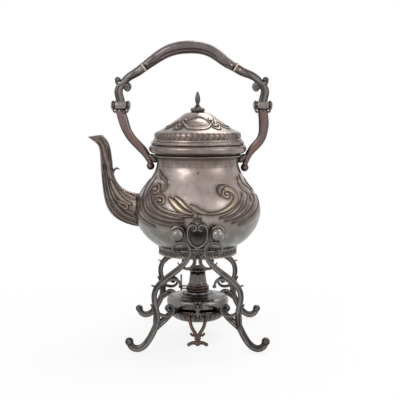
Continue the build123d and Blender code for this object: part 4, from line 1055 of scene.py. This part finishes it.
# Spout. A station has its outer and its inner point, from the kettle's axis and base, and its width.
spoutValues = {
    "rows": 210, "count": 150, "groove": 0.75, "lift": 0.15, "roll": 0.9, "wall": 1.5,
    "rollAngles": (20, 60, 90, 120, 160), "boreFrom": 0.55, "boreStep": 3,
    "seam": (15.6, 3.4, 1.4),  # the line of the joint with the body: its place, its lean and its width
}
spoutStations = [
    ((-62, 33), (-62, 80), 34.0), ((-90, 38.4), (-83.5, 78.6), 34.0), ((-106.4, 46.4), (-94.6, 83.6), 29.2),
    ((-115.8, 57.4), (-101.4, 89.6), 23.8), ((-120.8, 73.0), (-105.6, 96.6), 19.7),
    ((-123.2, 93.0), (-108.2, 106.0), 17.0), ((-124.8, 115.0), (-109.4, 117.0), 15.3),
    ((-125.4, 130.0), (-111.2, 131.6), 14.3), ((-128.4, 140.8), (-114.0, 142.6), 13.6),
    ((-134.2, 146.0), (-117.6, 148.6), 12.9), ((-140.5, 150.4), (-121.8, 153.2), 11.6),
]
# Degrees go from the inner side of the spout round to its outer side, and the height is the way along it
spoutStrokes = [
    stroke([(138, 15), (136, 28), (130, 42), (122, 56), (118, 68), (119, 84), (122, 98)],
           [1.6, 2.1, 2.2, 2.0, 1.6, 1.2, 0.6], 0.9, 0.05, 1.0),
    stroke([(158, 16), (154, 30), (146, 44), (141, 58), (140, 72), (142, 88)],
           [1.5, 2.0, 2.1, 1.9, 1.5, 0.7], 0.9, 0.05, 1.0),
    stroke([(118, 16), (114, 29), (104, 42), (97, 55), (94, 67), (93, 82), (96, 96)],
           [1.5, 2.0, 2.1, 1.9, 1.6, 1.2, 0.5], 0.9, 0.08, 1.0),
    stroke([(101, 18), (96, 29), (87, 41), (81, 52), (79, 63), (80, 76)], [1.4, 1.8, 1.9, 1.7, 1.3, 0.6],
           0.9, 0.12, 1.0),
    stroke([(70, 24), (68, 35), (62, 47), (60, 61), (68, 72)], [1.2, 2.4, 3.0, 2.6, 0.8], 1.1, 0.45, 0.9),
    stroke([(83, 45.5), (78, 38), (76, 32), (84, 28.3), (92, 31.4), (88, 35.4)],
           [0.9, 1.3, 1.5, 1.5, 1.3, 1.1], 1.3, 0.5),
    stroke([(44, 20), (36, 34), (30, 48), (32, 64), (42, 80), (46, 97), (42, 112)],
           [1.4, 1.9, 2.1, 1.9, 1.5, 1.1, 0.5], 0.8, 0.12),
    stroke([(124, 125.5), (122, 116), (112, 105), (100, 92)], [0.6, 0.9, 0.9, 0.6], 0.5, 0.1, 0.9),
    stroke([(67, 131), (71, 122), (66, 112), (58, 98)], [0.7, 1.0, 1.1, 0.7], 0.6, 0.1, 0.9),
    stroke([(20, 24), (19, 25.6)], [1.8, 1.8], 1.2, 0.9),
    stroke([(20, 30), (20, 31.4)], [1.8, 1.8], 1.2, 0.9),
    stroke([(22, 36), (22, 37.2)], [1.6, 1.6], 1.2, 0.9),
    stroke([(24, 42), (24, 43)], [1.4, 1.4], 1.1, 0.8),
]


def spoutPart(values):
    # The outside from the root to the mouth, the rolled lip, and the bore as far down as it can be seen
    rows = values["rows"]
    front = smoothLine([station[0] for station in spoutStations], rows)
    back = smoothLine([station[1] for station in spoutStations], rows)
    stops = np.linspace(0, 1, len(spoutStations))
    width = np.interp(np.linspace(0, 1, rows), stops, [station[2] for station in spoutStations])
    turn = np.linspace(0, 2 * math.pi, values["count"], endpoint=False)
    middle = (front + back) / 2
    way = chordKnots(middle)
    reach = (back - front) / 2
    length = np.linalg.norm(reach, axis=1)
    unit = reach / length[:, None]
    folded = np.degrees(np.abs(np.arctan2(np.sin(turn), np.cos(turn))))
    turnDeg = np.repeat(folded[None, :], rows, axis=0)
    along = np.repeat(way[:, None], len(turn), axis=1)
    mean = np.repeat(((length + width / 2) / 2)[:, None], len(turn), axis=1)
    high, marks = carve(turnDeg, along, mean, spoutStrokes, values["groove"])
    high = high + values["lift"]

    def ring(row, grow):
        # One closed line round the spout, moved out or in by the growth
        grid = np.zeros((len(turn), 3))
        out = (length[row] + grow) * np.cos(turn)
        grid[:, 0] = middle[row, 0] + unit[row, 0] * out
        grid[:, 1] = (width[row] / 2 + grow) * np.sin(turn)
        grid[:, 2] = middle[row, 1] + unit[row, 1] * out + baseZ
        return grid

    rings = [ring(row, high[row]) for row in range(rows)]
    onwards = rings[-1].mean(axis=0) - rings[-3].mean(axis=0)
    onwards /= np.linalg.norm(onwards)
    roll = values["roll"]
    for angle in np.radians(values["rollAngles"]):
        grow = values["lift"] - roll + roll * math.cos(angle)
        rings.append(ring(rows - 1, grow) + onwards * roll * math.sin(angle))
    inside = range(rows - 1, int(rows * values["boreFrom"]), -values["boreStep"])
    rings += [ring(row, -values["wall"]) for row in inside]
    grid = np.array(rings)
    extra = len(rings) - rows
    place, lean, wide = values["seam"]
    seam = 0.9 * bump(along, place + lean * np.cos(np.radians(turnDeg)), wide)
    cavity = np.clip(marks["cavity"] + seam, 0, 1)
    # painted shade: the bore is darkened as far down as it can be seen
    dirtAndShade = np.concatenate([np.zeros(extra - len(inside)), np.full(len(inside), 0.75)])
    cavity = np.vstack([cavity, np.repeat(dirtAndShade[:, None], len(turn), axis=1)])
    ridge = np.vstack([marks["ridge"], np.full((extra, len(turn)), 0.15)])
    film = np.vstack([np.maximum(marks["film"], 0.82), np.full((extra, len(turn)), 0.8)])
    return patch(grid, cavity, ridge, film)


# The barb stands on the inner side of the spout, drawn from the kettle's axis and base
barbLine = [
    (-110.4, 0, 100.0), (-109.4, 0, 104.4), (-106.8, 0, 109.0), (-103.6, 0, 110.6), (-101.2, 0, 109.4),
]
barb = sweep(np.array(barbLine) + np.array([0, 0, baseZ]), [3.0, 3.8, 3.3, 2.6, 1.7],
             [3.2, 3.2, 2.8, 2.3, 1.6], 30)
spoutParts = [spoutPart(spoutValues), marked(barb, "cavity", 0.55)]
addPiece("spoutCasting", spoutParts, "kettle", kettlePlate, "spout")
print("spout done")

# Arms, each from a knuckle down to the neck. The points are from the kettle's axis and base.
armValues = {
    "rings": 90, "count": 48, "widths": [12.6, 13.0, 11.4, 11.0, 11.0, 9.0, 6.6],
    "depths": [11.0, 11.0, 9.6, 9.2, 9.2, 8.6, 6.8],
    "barrel": 6.1, "barrelGap": 1.6, "disc": 6.5, "discFrom": 7.8, "discTo": 11.0,
    "front": [(-94.6, 170.6), (-89.2, 156.4), (-81.2, 145.4), (-72.0, 135.8), (-65.0, 126.6), (-60.6, 117.0)],
    "back": [(84.6, 168.0), (83.6, 156.2), (80.2, 146.8), (73.2, 138.6), (66.2, 129.4), (60.4, 115.0)],
}


def knuckleDisc(low, high, radius):
    # A disc with rounded rims, turned about X between two places
    deep = high - low
    outline = [
        (0.1, 0.0), (radius - 1.4, 0.0), (radius - 0.4, 0.25 * deep), (radius, 0.5 * deep),
        (radius - 0.4, 0.75 * deep), (radius - 1.4, deep), (0.1, deep),
    ]
    return alongX(lathe(fineOutline(outline, 2), 60, grooves=(5, 6)), (low, 0, hingeZ))


def armParts(x, points, values):
    # A limb that ends in a ball below a lug on the neck, with two discs, two cheeks and a yoke at the knuckle
    way = math.copysign(1.0, x)
    line = [(x, 0, hingeZ - values["barrel"] - values["barrelGap"])]
    line += [(px, 0, baseZ + pz) for px, pz in points]
    limb = sweep(line, values["widths"], values["depths"], values["rings"], values["count"], "worn", 0.85)
    rows, cols = limb["film"].shape
    limb["film"] = np.repeat(np.linspace(0, 1, rows)[:, None] ** 2, cols, axis=1)
    end = line[-1]
    parts = [limb, marked(ball((end[0], 0, end[2] - 3.4), 5.2, eye=0.9), "film", 1.0)]
    parts.append(ball((end[0] + way * 1.4, 0, end[2] + 6.0), 3.6, squash=1.2))
    for side in (-1, 1):
        ends = sorted((x + side * values["discFrom"], x + side * values["discTo"]))
        parts.append(knuckleDisc(*ends, values["disc"]))
        cheek = [(x + side * out, 0, hingeZ - down) for out, down in ((8.9, 7.6), (9.4, 5.0), (9.4, 1.0))]
        parts.append(sweep(cheek, [2.6, 2.8, 2.6], [10.6, 11.0, 10.6], 12))
    yoke = [(x - 8.4, 0, hingeZ - 8.2), (x, 0, hingeZ - 8.4), (x + 8.4, 0, hingeZ - 8.2)]
    parts.append(sweep(yoke, [3.0, 3.8, 3.0], [10.8] * 3, 20))
    lug = [(way * 54.6, 0, lipZ - 9.0), (way * 57.0, 0, lipZ - 6.0), (way * 60.6, 0, lipZ - 4.0)]
    parts.append(sweep(lug, [8.0, 9.0, 7.0], [7.6, 7.8, 7.6], 20))
    return parts


for word, x in (("front", frontHingeX), ("back", backHingeX)):
    arm = armParts(x, armValues[word], armValues)
    addPiece(word + "ArmCasting", arm, "kettle", bailPlate, word + "_arm")
print("arms done")

# Bail. A seat is the middle of an insulator, and its way points down along the limb to the scroll.
gripX = -10.1
gripZ = hingeZ + 73.4
seatGap = 1.1  # half an insulator


def wayDown(side, degrees):
    # A direction that goes outwards and down
    return np.array([side * math.cos(math.radians(degrees)), 0, -math.sin(math.radians(degrees))])


bailEnds = {
    "front": {"x": frontHingeX, "side": -1, "seat": np.array([gripX - 58.4, 0, gripZ - 25.2]),
              "way": wayDown(-1, 36)},
    "back": {"x": backHingeX, "side": 1, "seat": np.array([gripX + 58.4, 0, gripZ - 25.8]),
             "way": wayDown(1, 30)},
}
gripValues = {"rings": 120, "count": 56, "widths": [11.8, 13.4, 15.8, 16.4, 15.8, 13.4, 11.8], "flat": 0.88}
scrollValues = {
    "socketRings": 60, "scrollRings": 80, "scrollWidths": [11.2, 11.0, 10.8, 9.8, 7.8, 5.8, 4.4, 3.4],
    "scrollDepths": [8.6, 8.6, 8.2, 7.4, 6.8, 6.2, 5.8, 5.4],
}
barrelValues = {
    "outline": [
        (0.1, -7.5), (5.2, -7.5), (5.9, -6.9), (6.1, -5.8), (6.1, 5.8), (5.9, 6.9), (5.2, 7.5), (0.1, 7.5),
    ],
    "steps": 2, "segments": 60, "grooves": (3, 11),
}
rivetValues = {"apart": 6.0, "face": 5.2, "radius": 1.15, "shank": 0.9}


def leafOn(line, widths, deep, y):
    # A chased leaf that lies on the front and the back of a limb
    points = [(point[0], -y, point[2]) for point in line]
    leaf = sweep(points, widths, [deep] * len(widths), 40, 40, "leaf", 0.8)
    return [leaf, mirrored(leaf, 1)]


def gripParts(values):
    # The handle between the two insulators, with a leaf at each end of its faces
    seats = [(end["seat"] - end["way"] * seatGap, end["way"]) for end in bailEnds.values()]
    (start, startWay), (finish, finishWay) = seats
    line = [
        start, start - startWay * 12.0, (gripX - 26.0, 0, gripZ - 4.6), (gripX, 0, gripZ),
        (gripX + 26.0, 0, gripZ - 4.6), finish - finishWay * 12.0, finish,
    ]
    widths = values["widths"]
    depths = [wide * values["flat"] for wide in widths]
    parts = [sweep(line, widths, depths, values["rings"], values["count"], "grip", 0.9, False)]
    for seat, way in seats:
        leaf = [seat - way * along for along in (10.0, 16.0, 22.0, 29.0)]
        parts += leafOn(leaf, [5.0, 8.4, 5.4, 0.8], 1.6, 5.4)
    return parts


def scrollParts(end, values):
    # One end of the bail: a panelled socket, a hook, a scroll with bosses and the barrel of the knuckle
    side = end["side"]
    way = end["way"]
    start = end["seat"] + way * seatGap

    def at(out, up):
        # A place outwards and up from the knuckle
        return np.array([end["x"] + side * out, 0, hingeZ + up])

    neckEnd = at(0.6, 27.6)
    socket = [start, start + way * 9.0, neckEnd + np.array([-side * 8.0, 0, 5.2]), neckEnd, at(3.4, 29.4)]
    widths = [11.8, 11.6, 9.6, 8.0, 6.0]
    depths = [10.4, 10.0, 8.4, 7.2, 5.6]
    parts = [sweep(socket, widths, depths, values["socketRings"], 40, "panel", 0.75, False)]
    leaf = [start + way * along for along in (9.0, 13.0, 18.0, 24.0)]
    parts += leafOn(leaf, [4.0, 6.4, 4.4, 0.8], 1.5, 3.9)
    parts.append(ball(at(3.4, 32.4), 3.9, eye=0.9))
    hook = [at(0.0, 26.6), at(3.8, 28.4), at(4.6, 31.4)]
    parts.append(sweep(hook, [5.6, 5.6, 5.0], [5.6, 5.4, 5.0], 24))
    scroll = [
        at(0, 4.4), at(1.4, 10.6), at(2.6, 17.6), at(0.0, 24.2), at(-6.2, 27.0), at(-11.0, 23.4),
        at(-8.6, 19.4), at(-5.6, 21.4),
    ]
    parts.append(sweep(scroll, values["scrollWidths"], values["scrollDepths"], values["scrollRings"], 32,
                       "channel"))
    parts.append(ball(at(-6.8, 22.2), 3.2, squash=1.05, eye=0.9))
    parts.append(alongX(marked(turned(barrelValues), "ridge", 0.95), (end["x"], 0, hingeZ)))
    return parts


def rivetParts(values):
    # The shanks of the rivets on both sides of the insulators, with domed heads at the front and the back
    parts = []
    for end in bailEnds.values():
        for side in (-1, 1):
            x, _, z = end["seat"] + end["way"] * side * values["apart"]
            head = marked(ball((x, -values["face"], z), values["radius"], 14), "ridge", 1.0)
            shank = lathe([(values["shank"], -5.0), (values["shank"], 5.0)], 16)
            parts += [head, mirrored(head, 1), alongY(shank, (x, 0, z))]
    return parts


addPiece("rivetSet", rivetParts(rivetValues), "bail", rivetPlate, "bail_rivets")
addPiece("gripCasting", gripParts(gripValues), "bail", bailPlate, "bail_grip")
for word, end in bailEnds.items():
    casting = scrollParts(end, scrollValues)
    addPiece(word + "ScrollCasting", casting, "bail", scrollPlate, word + "_bail_scroll")
print("bail done")


# Painted shade, standing also for grime: a point is darkened as far as it is shut in by what stands round it
def gatherShadeAndGrime(values):
    # From each point, rays spread over the half of the sky that it faces, and near hits count most. Large
    # parts are asked at every few rows and columns, and their other points take values between those.
    points = []
    faces = []
    total = 0
    shown = [entry["piece"] for entry in made]
    shown += [node for name, node in frame["nodes"].items() if name not in hiddenNodes]
    for shape in shown:
        mesh = shape.data
        flat = np.zeros(len(mesh.vertices) * 3)
        mesh.vertices.foreach_get("co", flat)
        points.append(flat.reshape(-1, 3))
        faces.extend([[index + total for index in face.vertices] for face in mesh.polygons])
        total += len(mesh.vertices)
    tree = BVHTree.FromPolygons(np.vstack(points).tolist(), faces)
    count = values["rays"]
    step = (np.arange(count) + 0.5) / count
    turn = np.arange(count) * values["rayTurn"]
    local = np.stack([np.sqrt(step) * np.cos(turn), np.sqrt(step) * np.sin(turn), np.sqrt(1 - step)], axis=1)
    for entry in made:
        mesh = entry["piece"].data
        place = np.zeros(len(mesh.vertices) * 3)
        normal = np.zeros(len(mesh.vertices) * 3)
        mesh.vertices.foreach_get("co", place)
        mesh.vertices.foreach_get("normal", normal)
        place = place.reshape(-1, 3)
        normal = normal.reshape(-1, 3)
        shadeAndGrime = []
        first = 0
        for rows, cols in entry["shapes"]:
            jump = values["jump"] if rows * cols > values["large"] else 1
            pickRows = np.unique(np.append(np.arange(0, rows, jump), rows - 1))
            pickCols = np.arange(0, cols, jump)
            found = np.zeros((len(pickRows), len(pickCols) + 1))
            for i, row in enumerate(pickRows):
                for j, col in enumerate(pickCols):
                    index = first + row * cols + col
                    up = normal[index]
                    side = np.cross(up, (0.3, 0.5, 0.8))
                    side = side / (np.linalg.norm(side) + 1e-9)
                    rays = local @ np.array([side, np.cross(up, side), up])
                    start = place[index] + up * values["start"]
                    hits = 0.0
                    for ray in rays:
                        gap = tree.ray_cast(start, ray, values["reach"])[3]
                        if gap is not None:
                            hits += 1 - 0.6 * gap / values["reach"]
                    found[i, j] = hits / count
            found[:, -1] = found[:, 0]
            across = np.array([np.interp(np.arange(cols), np.append(pickCols, cols), line) for line in found])
            full = np.array([np.interp(np.arange(rows), pickRows, line) for line in across.T]).T
            shadeAndGrime.append(full.reshape(-1))
            first += rows * cols
        # painted shade: the share of near hits becomes the darkening mark
        layer = mesh.attributes.new("shadeAndGrime", "FLOAT", "POINT")
        layer.data.foreach_set("value", np.concatenate(shadeAndGrime).astype(np.float32))


shadeAndGrimeValues = {"rays": 12, "rayTurn": 2.39996, "reach": 0.022, "start": 0.0006, "large": 3000, "jump": 6}
gatherShadeAndGrime(shadeAndGrimeValues)
print("dirt done")


# Floor and light
def seenDirectly(tree):
    # 1 for what is seen by itself, mirrored or through something, and 0 for light that falls on the object
    path = tree.nodes.new("ShaderNodeLightPath")
    seen = path.outputs["Is Camera Ray"]
    for key in ("Is Glossy Ray", "Is Transmission Ray"):
        larger = tree.nodes.new("ShaderNodeMath")
        larger.operation = "MAXIMUM"
        tree.links.new(seen, larger.inputs[0])
        tree.links.new(path.outputs[key], larger.inputs[1])
        seen = larger.outputs[0]
    return seen


floorValues = {
    "half": 6.0,
    # the share of white rises from near to far over these distances from the middle
    "near": 0.84, "far": 1.0, "from": 0.12, "to": 0.45,
    "look": {"light": (0.92, 0.92, 0.92), "shade": (0.9, 0.9, 0.9), "scale": 3.0, "rough": 0.8, "bump": 0.0},
}
half = floorValues["half"]
floorMesh = bpy.data.meshes.new("floorPlane")
floorMesh.from_pydata([(-half, -half, 0), (half, -half, 0), (half, half, 0), (-half, half, 0)], [],
                      [(0, 1, 2, 3)])
floorPlane = bpy.data.objects.new("floorPlane", floorMesh)
bpy.context.scene.collection.objects.link(floorPlane)
floorPaint = plainMaterial("floorPaint", floorValues["look"])
floorMesh.materials.append(floorPaint)

# The floor keeps the shadow near the kettle and goes over into the white behind it
nodes = floorPaint.node_tree.nodes
link = floorPaint.node_tree.links.new
where = nodes.new("ShaderNodeTexCoord")
distance = nodes.new("ShaderNodeVectorMath")
distance.operation = "LENGTH"
link(where.outputs["Object"], distance.inputs[0])
fade = nodes.new("ShaderNodeMapRange")
for key, value in (("From Min", "from"), ("From Max", "to"), ("To Min", "near"), ("To Max", "far")):
    fade.inputs[key].default_value = floorValues[value]
link(distance.outputs["Value"], fade.inputs["Value"])
white = nodes.new("ShaderNodeEmission")
amount = nodes.new("ShaderNodeMath")
amount.operation = "MULTIPLY"
link(fade.outputs["Result"], amount.inputs[0])
link(seenDirectly(floorPaint.node_tree), amount.inputs[1])
blend = nodes.new("ShaderNodeMixShader")
link(amount.outputs[0], blend.inputs[0])
link(nodes["Principled BSDF"].outputs["BSDF"], blend.inputs[1])
link(white.outputs["Emission"], blend.inputs[2])
link(blend.outputs["Shader"], nodes["Material Output"].inputs["Surface"])

lampValues = [
    {"name": "keyLamp", "place": (-0.95, -1.15, 1.15), "aim": (0, 0, 0.2), "size": 1.0, "power": 8.0},
    {"name": "fillLamp", "place": (1.3, -0.9, 0.9), "aim": (0, 0, 0.2), "size": 1.0, "power": 4.5},
    {"name": "topLamp", "place": (0.45, 0.7, 1.5), "aim": (0, 0, 0.2), "size": 1.0, "power": 12.0},
]
for lamp in lampValues:
    light = bpy.data.lights.new(lamp["name"], "AREA")
    light.shape = "DISK"
    light.size = lamp["size"]
    light.energy = lamp["power"]
    holder = bpy.data.objects.new(lamp["name"], light)
    bpy.context.scene.collection.objects.link(holder)
    holder.location = lamp["place"]
    way = np.array(lamp["aim"]) - np.array(lamp["place"])
    yaw = math.atan2(-way[0], way[1])
    tilt = math.atan2(way[2], math.hypot(way[0], way[1]))
    holder.rotation_euler = (math.pi / 2 + tilt, 0, yaw)

worldValues = {"lightOnObject": 0.55, "seen": 1.0}
world = bpy.data.worlds.new("studio")
bpy.context.scene.world = world
world.use_nodes = True
worldTree = world.node_tree
background = worldTree.nodes["Background"]
background.inputs["Color"].default_value = (1, 1, 1, 1)
level = worldTree.nodes.new("ShaderNodeMapRange")
level.inputs["To Min"].default_value = worldValues["lightOnObject"]
level.inputs["To Max"].default_value = worldValues["seen"]
worldTree.links.new(seenDirectly(worldTree), level.inputs["Value"])
worldTree.links.new(level.outputs["Result"], background.inputs["Strength"])
print("light done")

cameraValues = {"lens": 76.5, "sensor": 36.0, "near": 0.05, "place": (0.003 + axisX * mm, -1.092, 0.299),
                "down": 6.37}
bpy.context.scene.view_settings.view_transform = "Standard"
cameraData = bpy.data.cameras.new("camera")
cameraData.lens = cameraValues["lens"]
cameraData.sensor_width = cameraValues["sensor"]
cameraData.clip_start = cameraValues["near"]
camera = bpy.data.objects.new("camera", cameraData)
bpy.context.scene.collection.objects.link(camera)
camera.location = cameraValues["place"]
camera.rotation_euler = (math.radians(90 - cameraValues["down"]), 0, 0)
bpy.context.scene.camera = camera

print("scene done")
